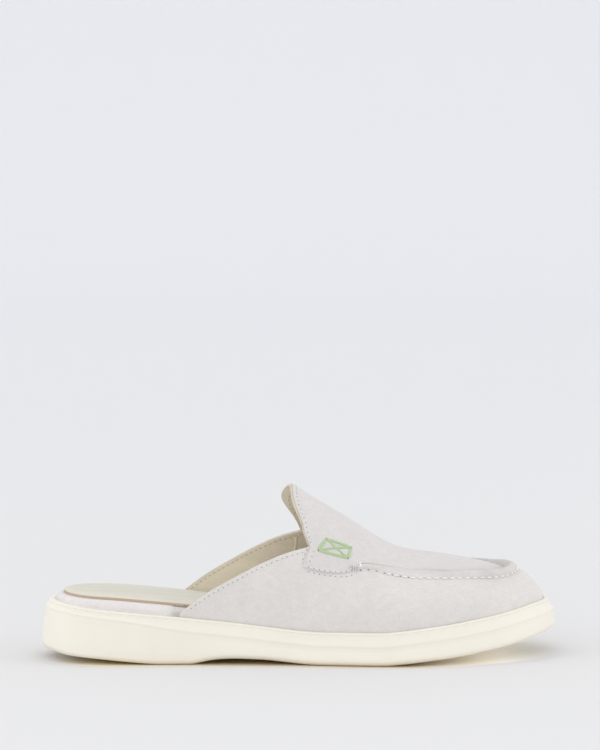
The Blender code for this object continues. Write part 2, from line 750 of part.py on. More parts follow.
def upper_grid():
    """Points of the upper's face, their numbers in a grid that runs from one side over to the other, and how far
    the outer skin stands off and the inner skin stands in."""
    reach = upper_columns()
    alongs = foot_x(reach) / SOLE_LENGTH + 0.5
    per_reach = (foot_x(reach + 5e-3) - foot_x(reach - 5e-3)) / 1e-2
    sides = []
    for side, rise in (("outer", OUTER_TOPLINE_RISE), ("inner", INNER_TOPLINE_RISE)):
        grid = climb_grid(alongs, rise)
        turn = reach - set_back(alongs, grid, side) / per_reach
        sides.append(upper_face(turn if side == "outer" else 2 - turn, grid))
    rows, columns = sides[0].shape[:2]
    step = wall_steps(alongs, rows)
    inner = WALL - np.minimum(step, 0)
    inner[THROAT_ROW + 1 :] = WALL - step[THROAT_ROW + 1 :]
    index = np.full((rows, 2 * columns - 1), -1)
    points, skins = [], []
    for row in range(rows):
        start = 0 if row <= THROAT_ROW else QUARTER_COLUMNS
        for k in range(start, 2 * columns - 1 - start):
            near = min(k, 2 * columns - 2 - k)
            if row == rows - 1 and k > near:
                index[row, k] = index[row, near]
                continue
            index[row, k] = len(points)
            points.append(sides[0 if k == near else 1][row, near])
            skins.append((step[row, near], inner[row, near]))
    return np.array(points), index, np.array(skins)


def make_upper():
    """One hollow shell: an outer skin with the lap and the rolled seam, an inner skin, and edges between them."""
    face, index, skins = upper_grid()
    faces = grid_faces(index)
    normals = vertex_normals(face, faces)
    foot = index[0]
    normals[foot, 2] = 0
    normals[foot] /= np.linalg.norm(normals[foot], axis=1, keepdims=True)
    outer_skin = face + normals * skins[:, :1]
    inner_skin = face - normals * skins[:, 1:]
    count = len(face)
    shell = list(faces)
    shell += [[v + count for v in reversed(f)] for f in faces]
    shell += [[b, a, a + count, b + count] for a, b in open_edges(faces)]
    return make_object("upper", np.concatenate([outer_skin, inner_skin]), shell, SUEDE, 0.9)


def main():
    for old in list(bpy.data.objects):
        bpy.data.objects.remove(old, do_unlink=True)
    make_outsole()
    make_midsole()
    make_insole()
    make_upper()


main()
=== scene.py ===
"""Looks of a backless slip-on loafer for the right foot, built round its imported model.

The file is laid out as an add-on: sizes and colours stand in property groups, each piece has its
operator, and a panel in the 3D view's sidebar lists them. Run as a script it makes everything once,
in order.

The heel points to -X and the toe to +X, and the outer side of the foot faces -Y. Lengths are in
metres. A place along the shoe is a share of the sole's length, from the heel to the toe, and a
reach covers the same way in steps that crowd towards both ends. A turn runs round the shoe: 0 at
the heel, along the outer side to 1 at the toe, and back along the inner side to 2. A climb runs up
the upper: 0 at the feather line, where it meets the sole, and a quarter turn at the instep line.
"""

import math
from collections import namedtuple
from contextlib import contextmanager

import bpy
import numpy as np
from bpy.props import FloatProperty, FloatVectorProperty, PointerProperty
from mathutils import Matrix, Vector
from mathutils.kdtree import KDTree


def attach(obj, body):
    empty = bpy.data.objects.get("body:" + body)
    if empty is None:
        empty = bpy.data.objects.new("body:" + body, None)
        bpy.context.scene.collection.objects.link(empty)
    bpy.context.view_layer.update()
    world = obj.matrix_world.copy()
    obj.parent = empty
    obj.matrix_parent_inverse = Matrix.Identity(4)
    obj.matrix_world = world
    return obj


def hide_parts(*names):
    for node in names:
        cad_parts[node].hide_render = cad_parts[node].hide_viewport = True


bl_info = {
    "name": "Slip-on loafer maker",
    "version": (1, 0, 0),
    "blender": (4, 5, 0),
    "location": "3D View > Sidebar > Loafer",
    "description": "Makes the sole, the upper, its lining and its stitches round a packed model of the shoe",
    "category": "Object",
}

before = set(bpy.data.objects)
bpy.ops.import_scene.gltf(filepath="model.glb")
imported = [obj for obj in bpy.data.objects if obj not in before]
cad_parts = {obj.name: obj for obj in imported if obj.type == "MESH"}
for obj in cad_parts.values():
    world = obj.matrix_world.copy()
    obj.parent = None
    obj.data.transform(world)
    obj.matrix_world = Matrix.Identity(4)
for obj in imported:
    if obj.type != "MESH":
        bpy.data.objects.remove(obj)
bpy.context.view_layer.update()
MM = 0.001

# Lengths of the sole, the footbed and the upper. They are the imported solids' own, but for the
# sharper corner under the sole's side and the lip at the toe.
SOLE_LENGTH = 0.2600
BALL_WIDTH = 0.0960
HEEL_THICKNESS = 0.0298
FOREFOOT_THICKNESS = 0.0160
TOE_THINNING = 0.0025
TOE_SPRING = 0.0127
ARCH_RISE = 0.0027
HEEL_BEVEL = 0.0062
CORNER_RADIUS = 0.0025
LIP_DROP = 0.0011
WALL_LEAN = 0.0032
RIM_RADIUS = 0.0007
RIM_DEPTH = 0.0020
SIDE_LEDGE = 0.0056
GROOVE_DROP = 0.0069
GROOVE_WIDTH = 0.0012
GROOVE_CUT = 0.0006
BAR_GAP = 0.0024
BAR_CUT = 0.0012
BAR_MARGIN = 0.0090
HEEL_BAR_PITCH = 0.0078
FOREFOOT_BAR_PITCH = 0.0082
TREAD_STEP = 0.0008
MIDSOLE_STAND = 0.0049
MIDSOLE_FRONT_STAND = 0.0022
MIDSOLE_EDGE_RADIUS = 0.0034
INSOLE_INSET = 0.0038
INSOLE_TOE_INSET = 0.0016
INSOLE_THICKNESS = 0.0024
HEEL_CUP = 0.0008
HEEL_DIP = 0.0019
HEEL_DIP_END = 0.16
WALL = 0.0022
INSTEP_RISE = 0.0716
OUTER_TOPLINE_RISE = 0.0434
INNER_TOPLINE_RISE = 0.0466
SIDE_BULGE = 0.0010
BULGE_TOP = math.radians(60)
TONGUE_SETBACK = 0.0110
TONGUE_BLEND = 0.0400
TAB_SLANT = 0.0044
TAB_BLEND = 0.0250
FAN_START = 0.54
REST_GAP = 0.0003
SIDE_GAP = 0.0004
TUCK_GAP = 0.0007

# How close points lie that are merged, between grids and round a closed ring
GRID_MERGE = 1e-6
RING_MERGE = 2e-6


def table(columns, *rows):
    """Rows of numbers, as one array for each named column."""
    return namedtuple("Table", columns)(*(np.array(values, float) for values in zip(*rows)))


# Plan of the sole: its middle line and half width, as shares of the ball's width
OUTLINE = table(
    "along middle half",
    (0.00, 0.000, 0.000),
    (0.05, 0.000, 0.272),
    (0.15, 0.000, 0.349),
    (0.30, -0.018, 0.342),
    (0.45, -0.045, 0.354),
    (0.60, -0.043, 0.432),
    (0.70, -0.010, 0.486),
    (0.80, 0.021, 0.465),
    (0.90, 0.045, 0.381),
    (0.96, 0.055, 0.263),
    (1.00, 0.058, 0.000),
)

# Heights of the sole, as shares of the sizes above, and the lean of its side
SOLE = table(
    "along heel thin spring arch bevel groove lean rim",
    (0.000, 1.000, 0.00, 0.000, 0.00, 1.00, 0.62, 0.60, 1.25),
    (0.016, 0.985, 0.00, 0.000, 0.00, 0.86, 0.62, 0.60, 1.21),
    (0.049, 0.922, 0.00, 0.000, 0.00, 0.62, 0.62, 0.59, 1.12),
    (0.085, 0.832, 0.00, 0.000, 0.00, 0.50, 0.62, 0.59, 1.06),
    (0.120, 0.760, 0.00, 0.000, 0.00, 0.38, 0.63, 0.58, 1.00),
    (0.170, 0.675, 0.00, 0.000, 0.00, 0.18, 0.70, 0.56, 1.00),
    (0.205, 0.616, 0.00, 0.000, 0.00, 0.05, 0.80, 0.55, 1.00),
    (0.225, 0.581, 0.00, 0.000, 0.00, 0.00, 0.87, 0.54, 1.00),
    (0.283, 0.471, 0.00, 0.000, 0.00, 0.00, 0.99, 0.53, 1.00),
    (0.302, 0.434, 0.00, 0.000, 0.32, 0.00, 1.00, 0.52, 1.00),
    (0.329, 0.383, 0.00, 0.000, 0.82, 0.00, 1.00, 0.52, 1.00),
    (0.365, 0.309, 0.00, 0.000, 1.00, 0.00, 1.00, 0.52, 1.00),
    (0.418, 0.191, 0.00, 0.000, 0.86, 0.00, 1.00, 0.51, 1.00),
    (0.470, 0.082, 0.00, 0.000, 0.42, 0.00, 1.00, 0.51, 1.00),
    (0.504, 0.025, 0.00, 0.000, 0.10, 0.00, 1.00, 0.51, 1.00),
    (0.535, 0.000, 0.00, 0.000, 0.00, 0.00, 1.00, 0.50, 1.00),
    (0.640, 0.000, 0.00, 0.000, 0.00, 0.00, 1.00, 0.49, 1.00),
    (0.690, 0.000, -0.05, 0.070, 0.00, 0.00, 1.00, 0.48, 1.00),
    (0.723, 0.000, -0.10, 0.142, 0.00, 0.00, 1.00, 0.48, 1.00),
    (0.777, 0.000, -0.18, 0.245, 0.00, 0.00, 1.00, 0.46, 1.00),
    (0.820, 0.000, -0.25, 0.353, 0.00, 0.00, 1.00, 0.45, 1.00),
    (0.873, 0.000, -0.31, 0.505, 0.00, 0.00, 1.00, 0.41, 1.00),
    (0.913, 0.000, -0.32, 0.655, 0.00, 0.00, 1.00, 0.38, 1.00),
    (0.955, 0.000, -0.27, 0.835, 0.00, 0.00, 1.00, 0.28, 1.00),
    (0.985, 0.000, -0.06, 0.950, 0.00, 0.00, 1.00, 0.18, 1.01),
    (1.000, 0.000, 0.28, 1.000, 0.00, 0.00, 1.00, 0.14, 1.02),
)

# Foot of the upper: its distance from the sole's side, how square its section is, and its bulge
FOOT = table(
    "along ledge fullness bulge",
    (0.00, 1.34, 2.06, 1.0),
    (0.10, 1.17, 2.06, 1.0),
    (0.24, 1.00, 2.06, 1.0),
    (0.75, 0.98, 2.06, 1.0),
    (0.88, 0.97, 1.85, 0.8),
    (0.96, 1.02, 1.60, 0.5),
    (1.00, 1.12, 1.45, 0.3),
)

# The line that the upper climbs to over the instep
INSTEP = table(
    "along rise middle",
    (0.250, 1.310, 0.000),
    (0.370, 1.160, 0.004),
    (0.486, 0.980, 0.014),
    (0.534, 0.876, 0.018),
    (0.571, 0.796, 0.022),
    (0.608, 0.714, 0.025),
    (0.646, 0.627, 0.027),
    (0.672, 0.570, 0.028),
    (0.700, 0.523, 0.030),
    (0.758, 0.470, 0.036),
    (0.820, 0.408, 0.044),
)

# Height of the quarters' toplines, as a share of their rise at the throat
TOPLINE = table(
    "along rise",
    (0.262, 0.085),
    (0.290, 0.232),
    (0.323, 0.389),
    (0.364, 0.552),
    (0.417, 0.752),
    (0.471, 0.915),
    (0.513, 1.000),
)

# Lower edge of the apron and its tabs in degrees of climb, how far the rolled seam has begun there,
# and how high the apron stands inside the seam as a share of the seam's height
APRON_EDGE = table(
    "along climb seam apron",
    (0.498, 28.4, 0.0, 0.20),
    (0.539, 29.7, 0.0, 0.20),
    (0.575, 32.0, 0.0, 0.20),
    (0.592, 34.6, 0.0, 0.20),
    (0.606, 37.8, 0.3, 0.20),
    (0.624, 40.8, 0.9, 0.20),
    (0.650, 42.9, 1.0, 0.15),
    (0.690, 44.3, 1.0, 0.02),
    (0.735, 44.5, 1.0, -0.12),
    (0.800, 43.9, 1.0, -0.22),
    (0.860, 42.8, 1.0, -0.35),
    (0.908, 40.9, 1.0, -0.48),
    (0.930, 40.5, 1.0, -0.52),
    (0.955, 41.0, 1.0, -0.54),
    (1.000, 42.6, 1.0, -0.55),
)

# Curve of the tongue's rim on each side, as shares of its setback
TONGUE_RIM = table(
    "climbed outer inner",
    (0.00, 0.06, 0.18),
    (0.15, 0.30, 0.56),
    (0.24, 0.37, 0.88),
    (0.34, 0.53, 1.06),
    (0.47, 0.69, 1.03),
    (0.65, 0.74, 0.90),
    (0.82, 0.73, 0.79),
    (1.00, 0.71, 0.71),
)

# The two groups of bars under the sole, as shares along it
Tread = namedtuple("Tread", "start end pitch")
TREADS = (Tread(0.075, 0.285, HEEL_BAR_PITCH), Tread(0.545, 0.805, FOREFOOT_BAR_PITCH))
TREAD_END = 0.827
STEP_X = (TREAD_END - 0.5) * SOLE_LENGTH
THROAT = TOPLINE.along[-1]

# Width of the rolled seam along the shoe, as a share of the width that a user sets
SEAM_WIDTH = table(
    "along share",
    (0.598, 0.76),
    (0.612, 0.80),
    (0.630, 0.92),
    (0.660, 1.22),
    (0.700, 1.42),
    (0.730, 1.38),
    (0.765, 1.14),
    (0.800, 1.00),
    (1.000, 1.00),
)

# Section of the rolled seam over the upper's face: how far across its width, and how high it stands
# there as a share of its height, low where it starts at the tab and full at the toe. It starts in a
# faint notch that the thread pulls, and its last rows go down into the crease at the apron, which
# lies a share of the way to the apron's own stand.
ROLL = table(
    "across low full sunk",
    (-0.42, 0.00, 0.00, 0.00),
    (-0.22, -0.01, -0.01, 0.00),
    (-0.10, -0.04, -0.04, 0.00),
    (-0.02, -0.06, -0.07, 0.00),
    (0.03, 0.02, 0.04, 0.00),
    (0.07, 0.17, 0.26, 0.00),
    (0.13, 0.31, 0.47, 0.00),
    (0.22, 0.44, 0.66, 0.00),
    (0.34, 0.54, 0.82, 0.00),
    (0.48, 0.60, 0.94, 0.00),
    (0.62, 0.57, 1.00, 0.00),
    (0.74, 0.46, 1.00, 0.00),
    (0.83, 0.33, 0.92, 0.00),
    (0.89, 0.22, 0.78, 0.00),
    (0.93, 0.10, 0.56, 0.10),
    (0.955, -0.04, 0.26, 0.40),
    (0.975, -0.20, -0.06, 0.80),
    (1.00, -0.42, -0.40, 1.00),
)


def cubic(known, values, at):
    """A natural cubic spline through the points (known, values), read at the places at."""
    span = np.diff(known)
    rise = np.diff(values) / span
    count = len(known)
    system = np.eye(count)
    right = np.zeros(count)
    for k in range(1, count - 1):
        system[k, k - 1 : k + 2] = span[k - 1], 2 * (span[k - 1] + span[k]), span[k]
        right[k] = 6 * (rise[k] - rise[k - 1])
    bend = np.linalg.solve(system, right)
    k = np.clip(np.searchsorted(known, at) - 1, 0, count - 2)
    ahead = np.clip(at, known[0], known[-1]) - known[k]
    slope = rise[k] - span[k] * (2 * bend[k] + bend[k + 1]) / 6
    curl = (bend[k + 1] - bend[k]) / (6 * span[k])
    return values[k] + ahead * (slope + ahead * (bend[k] / 2 + ahead * curl))


def steady(known, values, at):
    """A smooth curve through the points (known, values) that keeps flat runs flat and never
    overshoots."""
    span = np.diff(known)
    rise = np.diff(values) / span
    before, after = rise[:-1], rise[1:]
    weight_before, weight_after = 2 * span[1:] + span[:-1], span[1:] + 2 * span[:-1]
    level = before * after <= 0
    safe_before, safe_after = np.where(level, 1, before), np.where(level, 1, after)
    mean = (weight_before + weight_after) / (weight_before / safe_before + weight_after / safe_after)
    slope = np.concatenate([rise[:1], np.where(level, 0, mean), rise[-1:]])
    k = np.clip(np.searchsorted(known, at) - 1, 0, len(known) - 2)
    t = (np.clip(at, known[0], known[-1]) - known[k]) / span[k]
    turn_in = t * (1 - t) ** 2 * slope[k] - t**2 * (1 - t) * slope[k + 1]
    return values[k] + (3 * t**2 - 2 * t**3) * (values[k + 1] - values[k]) + span[k] * turn_in


def eased(value, start, end):
    """0 before start, 1 after end, and a smooth ramp between them."""
    t = np.clip((np.asarray(value, float) - start) / (end - start), 0, 1)
    return t * t * (3 - 2 * t)


def reach_of(along):
    """Even steps of reach crowd towards the heel's and the toe's ends, which keeps both round."""
    return np.arccos(1 - 2 * np.asarray(along, float)) / math.pi


def along_of(reach):
    return (1 - np.cos(math.pi * reach)) / 2


def share_at(x):
    return np.clip(np.asarray(x) / SOLE_LENGTH + 0.5, 0, 1)


def folded(turn):
    """The side of a turn, -1 outer and 1 inner, and its reach, 0 at the heel and 1 at the toe."""
    turn = np.mod(turn, 2.0)
    return np.where(turn < 1.0, -1.0, 1.0), 1.0 - np.abs(1.0 - turn)


def bare_outline(turn):
    side, reach = folded(turn)
    known = reach_of(OUTLINE.along)
    middle = cubic(known, OUTLINE.middle, reach)
    half = cubic(known, OUTLINE.half, reach)
    x = (along_of(reach) - 0.5) * SOLE_LENGTH
    return np.stack([x, (middle + side * half) * BALL_WIDTH], -1)


OUTLINE_SPAN = bare_outline(np.linspace(0, 2, 801))[:, 1]
SHIFT_Y = -(OUTLINE_SPAN.min() + OUTLINE_SPAN.max()) / 2


def widest_line(turn):
    return bare_outline(turn) + (0.0, SHIFT_Y)


def unit(vectors):
    return vectors / np.linalg.norm(vectors, axis=-1, keepdims=True)


def outward(turn):
    """Unit vectors square to the widest line, pointing away from the shoe."""
    step = 1e-3
    along = unit(widest_line(turn + step) - widest_line(turn - step))
    return np.stack([along[..., 1], -along[..., 0]], -1)


def inset_line(turn, inset):
    inset = np.broadcast_to(inset, np.shape(turn))
    return widest_line(turn) - outward(turn) * inset[..., None]


def read(rows, name, along):
    """One column of a table as a smooth curve along the shoe."""
    return steady(rows.along, getattr(rows, name), along)


def sole(name, x):
    return read(SOLE, name, share_at(x))


def bottom_height(x):
    """Underside of the sole over the floor, without the step in front of the tread."""
    lift = TOE_SPRING * sole("spring", x) + HEEL_BEVEL * sole("bevel", x)
    return lift + ARCH_RISE * sole("arch", x)


def rim_height(x):
    heel = (HEEL_THICKNESS - FOREFOOT_THICKNESS) * sole("heel", x)
    thickness = FOREFOOT_THICKNESS + heel - TOE_THINNING * sole("thin", x)
    return TOE_SPRING * sole("spring", x) + thickness


def seat_height(x):
    """Floor of the outsole's recess, where the midsole and the upper rest."""
    return rim_height(x) - RIM_DEPTH


def foot_value(name, turn):
    return read(FOOT, name, along_of(folded(turn)[1]))


def ledge(turn):
    """Distance from the widest line to the feather line."""
    return SIDE_LEDGE * foot_value("ledge", turn)


def feather_line(turn):
    return inset_line(turn, ledge(turn))


REACHES = np.linspace(0, 1, 801)
FOOT_X = (feather_line(REACHES)[:, 0] + feather_line(2 - REACHES)[:, 0]) / 2
FEATHER_TOE_X = FOOT_X[-1]


def reach_at(along):
    """Reach of the upper's column whose foot is at this share along the shoe."""
    return np.interp((np.asarray(along, float) - 0.5) * SOLE_LENGTH, FOOT_X, REACHES)


def foot_x(reach):
    return np.interp(reach, REACHES, FOOT_X)


def along_at(reach):
    return foot_x(reach) / SOLE_LENGTH + 0.5


def instep_point(reach):
    """Point of the instep line that the column of this reach climbs to."""
    start = (FAN_START - 0.5) * SOLE_LENGTH
    run = FEATHER_TOE_X - start
    x = foot_x(reach)
    x = np.where(x < start, x, start + run * 2 / math.pi * np.sin(math.pi / 2 * (x - start) / run))
    known = INSTEP.along
    y = cubic(known, INSTEP.middle, share_at(x)) * BALL_WIDTH + SHIFT_Y
    z = seat_height(x) + INSTEP_RISE * cubic(known, INSTEP.rise, share_at(x))
    return np.stack([x, y, z], -1)


def upper_face(turn, climb):
    """The upper's face as the solids have it."""
    _, reach = folded(turn)
    foot = feather_line(turn)
    top = instep_point(reach)
    base = seat_height(foot[..., 0]) + REST_GAP
    inward = 1 - np.abs(np.cos(climb)) ** (2 / foot_value("fullness", turn))
    bulge = SIDE_BULGE * foot_value("bulge", turn) * np.sin(math.pi * np.clip(climb / BULGE_TOP, 0, 1))
    plan = foot + (top[..., :2] - foot) * inward[..., None] + outward(turn) * bulge[..., None]
    z = base + (top[..., 2] - base) * np.sin(climb)
    return np.concatenate([plan, z[..., None]], -1)


def face_normal(turn, climb):
    """Unit normals of the upper's face, pointing away from the foot."""
    step = 1e-3
    climb = np.clip(climb, 2 * step, math.radians(88.5))
    around = upper_face(turn + step, climb) - upper_face(turn - step, climb)
    up = upper_face(turn, climb + step) - upper_face(turn, climb - step)
    return unit(np.cross(around, up))


def on_face(turn, climb, stand):
    """Points that stand this far off the upper's face."""
    turn, climb, stand = np.broadcast_arrays(turn, climb, stand)
    return upper_face(turn, climb) + face_normal(turn, climb) * stand[..., None]


def topline_climb(along, topline_rise):
    """Climb at which a quarter's topline lies."""
    reach = reach_at(along)
    rise = topline_rise * read(TOPLINE, "rise", along) - REST_GAP
    whole = instep_point(reach)[..., 2] - seat_height(foot_x(reach)) - REST_GAP
    return np.arcsin(np.clip(rise / whole, 0, 1))


def apron_climb(along):
    return np.radians(read(APRON_EDGE, "climb", along))


def metres_per_climb(reach, climb):
    """Length on the face for each unit of climb."""
    step = 1e-3
    return np.linalg.norm(upper_face(reach, climb + step) - upper_face(reach, climb), axis=-1) / step


def seam_width_at(along):
    """Width of the rolled seam, which starts narrow at the tab and is widest behind the ball."""
    return sizes().seam_width * read(SEAM_WIDTH, "share", along)


Guides = namedtuple("Guides", "along edge seam_end level per_climb shrink")


def guides(reach, topline_rise):
    """Climbs of the lines that every column of the upper crosses: the apron's edge, the seam's inner
    side and the level of the throat. Behind the throat they all shrink with the topline."""
    along = along_at(reach)
    ahead = np.append(np.maximum(along, THROAT), THROAT)
    edge = apron_climb(ahead)
    per_climb = metres_per_climb(reach_at(ahead), edge)
    seam_end = edge + seam_width_at(ahead) / per_climb
    at_throat = topline_climb(THROAT, topline_rise)
    kept = (at_throat - seam_end[-1]) / (math.pi / 2 - seam_end[-1])
    level = seam_end + (math.pi / 2 - seam_end) * kept
    shrink = np.where(along <= THROAT, topline_climb(along, topline_rise) / at_throat, 1.0)
    return Guides(along, edge[:-1], seam_end[:-1], level[:-1], per_climb[:-1], shrink)


def slid_back(reach, climb, guide, side):
    """Reach of the points once the tab's back edge slants and the tongue's rim curves."""
    level, edge = guide.level * guide.shrink, guide.edge * guide.shrink
    climbed = (climb - level) / (math.pi / 2 - level)
    rim = cubic(TONGUE_RIM.climbed, getattr(TONGUE_RIM, side), np.clip(climbed, 0, 1))
    below = np.minimum(climb / edge, (level - climb) / (level - edge))
    back = np.where(climbed > 0, rim * TONGUE_SETBACK, np.clip(below, 0, 1) * TAB_SLANT)
    ahead = (guide.along - THROAT) * SOLE_LENGTH
    fade = np.clip(np.where(ahead > 0, 1 - ahead / TONGUE_BLEND, 1 + ahead / TAB_BLEND), 0, 1)
    step = 5e-3
    per_reach = (foot_x(reach + step) - foot_x(reach - step)) / (2 * step)
    return reach - back * fade**2 / per_reach


Side = namedtuple("Side", "name rise")
SIDES = (Side("outer", OUTER_TOPLINE_RISE), Side("inner", INNER_TOPLINE_RISE))


def turn_of(side, reach):
    return reach if side == "outer" else 2 - reach


def both_sides(reach, climbs_of, stand_of):
    """A grid of points for each side of the upper. climbs_of gives one side's climbs from its guides,
    and stand_of how far they stand off the face."""
    halves = []
    for side in SIDES:
        guide = guides(reach, side.rise)
        climb = climbs_of(guide)
        turn = turn_of(side.name, slid_back(reach, climb, guide, side.name))
        halves.append(on_face(turn, climb, stand_of(guide, climb)))
    return halves


def round_the_toe(halves):
    """One grid from both sides' grids, whose last columns are the same."""
    return np.concatenate([halves[0], halves[1][:, -2::-1]], 1)


def over_the_instep(halves):
    """One grid from both sides' grids, whose last rows are the same."""
    return np.concatenate([halves[0], halves[1][-2::-1]], 0)


def apron_stand(along):
    """How far the apron's face stands off the upper's: its full lap at the tabs, and sinking inside
    the seam."""
    seam = read(APRON_EDGE, "seam", along)
    inside = read(APRON_EDGE, "apron", along) * sizes().seam_height
    return sizes().lap * (1 - seam) + inside * seam


# Places along the upper where the apron's tab turns up to the rolled seam, and where the roll has begun
TAB_FRONT = (0.594, 0.608)
ROLL_START = (0.6035, 0.6095)


def run_lengths(points):
    """Length run at each point of a line."""
    return np.concatenate([[0], np.cumsum(np.linalg.norm(np.diff(points, axis=0), axis=1))])


def seam_run(side):
    """The rolled seam's outer base, from its start to the toe: reaches, climbs and lengths run."""
    reach = np.linspace(reach_at(ROLL_START[1]), 1, 700)
    climb = apron_climb(along_at(reach))
    return reach, climb, run_lengths(upper_face(turn_of(side, reach), climb))


def bare_scene():
    """Nothing selected and nothing in edit mode."""
    if bpy.context.object and bpy.context.object.mode != "OBJECT":
        bpy.ops.object.mode_set(mode="OBJECT")
    bpy.ops.object.select_all(action="DESELECT")


def take_up(piece):
    """The piece alone selected and active."""
    bare_scene()
    piece.select_set(True)
    bpy.context.view_layer.objects.active = piece


@contextmanager
def all_in_edit():
    """Edit mode for the active piece, with everything selected."""
    bpy.ops.object.mode_set(mode="EDIT")
    bpy.ops.mesh.select_all(action="SELECT")
    yield
    bpy.ops.object.mode_set(mode="OBJECT")


def places_of(piece):
    """Places of a piece's vertices."""
    flat = np.empty(len(piece.data.vertices) * 3, np.float32)
    piece.data.vertices.foreach_get("co", flat)
    return flat.reshape(-1, 3)


def nearest(points, places):
    """The point nearest to each place: which it is and how far away."""
    tree = KDTree(len(points))
    for k, point in enumerate(points):
        tree.insert(point, k)
    tree.balance()
    found = [tree.find(place)[1:] for place in places]
    return np.array([k for k, _ in found]), np.array([away for _, away in found])


def write_mark(piece, name, values):
    """A number at each vertex, which a material reads by its name."""
    mark = piece.data.attributes.new(name, "FLOAT", "POINT")
    mark.data.foreach_set("value", values.astype(np.float32))


def laid_grid(points, flip=False):
    """A grid primitive whose vertices are laid at points[row, column]."""
    rows, columns = points.shape[:2]
    bare_scene()
    bpy.ops.mesh.primitive_grid_add(
        x_subdivisions=columns - 1, y_subdivisions=rows - 1, size=2, location=(0, 0, 0)
    )
    sheet = bpy.context.object
    flat = places_of(sheet)
    column = np.rint((flat[:, 0] + 1) / 2 * (columns - 1)).astype(int)
    row = np.rint((flat[:, 1] + 1) / 2 * (rows - 1)).astype(int)
    sheet.data.vertices.foreach_set("co", points[row, column].astype(np.float32).ravel())
    if flip:
        with all_in_edit():
            bpy.ops.mesh.flip_normals()
    return sheet


def joined(name, parts, merge=GRID_MERGE):
    """One object from several, with the points that lie on each other merged."""
    bare_scene()
    for part in parts:
        part.select_set(True)
    bpy.context.view_layer.objects.active = parts[0]
    if len(parts) > 1:
        bpy.ops.object.join()
    whole = bpy.context.object
    whole.name = whole.data.name = name
    if merge:
        with all_in_edit():
            bpy.ops.mesh.remove_doubles(threshold=merge)
            bpy.ops.mesh.dissolve_degenerate(threshold=merge)
    return whole


def walled(name, outer, inner):
    """A closed wall between two skins. Each skin is a list of grids of points, and their borders are
    bridged."""
    skin = joined(name, [laid_grid(points) for points in outer])
    back = joined(name + "_back", [laid_grid(points, flip=True) for points in inner])
    whole = joined(name, [skin, back], merge=None)
    bpy.ops.object.mode_set(mode="EDIT")
    bpy.ops.mesh.select_mode(type="EDGE")
    bpy.ops.mesh.select_all(action="DESELECT")
    bpy.ops.mesh.select_non_manifold(
        extend=False, use_wire=False, use_multi_face=False, use_non_contiguous=False
    )
    bpy.ops.mesh.bridge_edge_loops()
    bpy.ops.mesh.select_all(action="DESELECT")
    bpy.ops.mesh.select_mode(type="VERT")
    bpy.ops.object.mode_set(mode="OBJECT")
    return whole


def rounded(piece, width, angle=60, segments=2):
    """Bevels the piece's sharp edges with an applied modifier."""
    take_up(piece)
    bpy.ops.object.modifier_add(type="BEVEL")
    bevel = piece.modifiers[-1]
    bevel.width = width
    bevel.segments = segments
    bevel.limit_method = "ANGLE"
    bevel.angle_limit = math.radians(angle)
    bevel.use_clamp_overlap = True
    bpy.ops.object.modifier_apply(modifier=bevel.name)


def finished(piece, finish, replaces=(), smooth_angle=50):
    """Smooth shading, the material, and the piece's place in the frame."""
    take_up(piece)
    bpy.ops.object.shade_smooth_by_angle(angle=math.radians(smooth_angle))
    piece.data.materials.clear()
    piece.data.materials.append(finish)
    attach(piece, "root")
    if replaces:
        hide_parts(*replaces)
    piece.select_set(False)
    return piece


# Materials


# Sockets of the Mix node that a mix of two colours uses
MIX_SHARE, MIX_ONE, MIX_TWO, MIX_RESULT = 0, 6, 7, 2
# How dark the marked lines may make the leather: painted shade in the roll's fold and crease on the suede, and the
# lining's own darker cut edge
CREASE_SHADE_AND_EDGE_TONE = 0.50


class Finish:
    """A new material, with the nodes that lead to its shader."""

    def __init__(self, name):
        self.material = bpy.data.materials.new(name)
        self.material.use_nodes = True
        self.tree = self.material.node_tree

    def fill(self, node, inputs):
        """Sets a node's inputs, each to a value or to another node's output."""
        for name, value in inputs.items():
            if isinstance(value, bpy.types.NodeSocket):
                self.tree.links.new(value, node.inputs[name])
            else:
                node.inputs[name].default_value = value

    def node(self, kind, output, inputs, **settings):
        """One output of a new node."""
        made = self.tree.nodes.new("ShaderNode" + kind)
        for name, value in settings.items():
            setattr(made, name, value)
        self.fill(made, inputs)
        return made.outputs[output]

    def place(self, scale=(1, 1, 1), turn=(0, 0, 0)):
        """Object coordinates through a Mapping node."""
        bare = self.node("TexCoord", "Object", {})
        return self.node("Mapping", "Vector", {"Scale": scale, "Rotation": turn, "Vector": bare})

    def noise(self, place, size, detail, roughness=0.55, distortion=0.0):
        """Patches of about this size."""
        inputs = {"Detail": detail, "Roughness": roughness, "Distortion": distortion}
        return self.node("TexNoise", "Fac", {"Vector": place, "Scale": 1 / size, **inputs})

    def ramp(self, value, low, high, to_low=0.0, to_high=1.0):
        """The value, moved from one range to another."""
        ends = {"From Min": low, "From Max": high, "To Min": to_low, "To Max": to_high}
        return self.node("MapRange", "Result", {"Value": value, **ends})

    def maths(self, operation, one, two):
        return self.node("Math", "Value", {0: one, 1: two}, operation=operation)

    def mix(self, share, one, two):
        """A mix of two colours."""
        inputs = {MIX_SHARE: share, MIX_ONE: one, MIX_TWO: two}
        return self.node("Mix", MIX_RESULT, inputs, data_type="RGBA")

    def mark(self, name):
        """A number that the piece's vertices carry."""
        return self.node("Attribute", "Fac", {}, attribute_name=name)

    def bump(self, height, distance, strength):
        inputs = {"Height": height, "Distance": distance, "Strength": strength}
        return self.node("Bump", "Normal", inputs)

    def shaded(self, base, roughness, specular, normal=None, sheen=None):
        """The material, once its shader has all of these. A sheen is its weight, roughness and tint."""
        inputs = {"Base Color": base, "Roughness": roughness, "Specular IOR Level": specular}
        if normal:
            inputs["Normal"] = normal
        if sheen:
            inputs.update(zip(("Sheen Weight", "Sheen Roughness", "Sheen Tint"), sheen))
        self.fill(self.tree.nodes["Principled BSDF"], inputs)
        return self.material


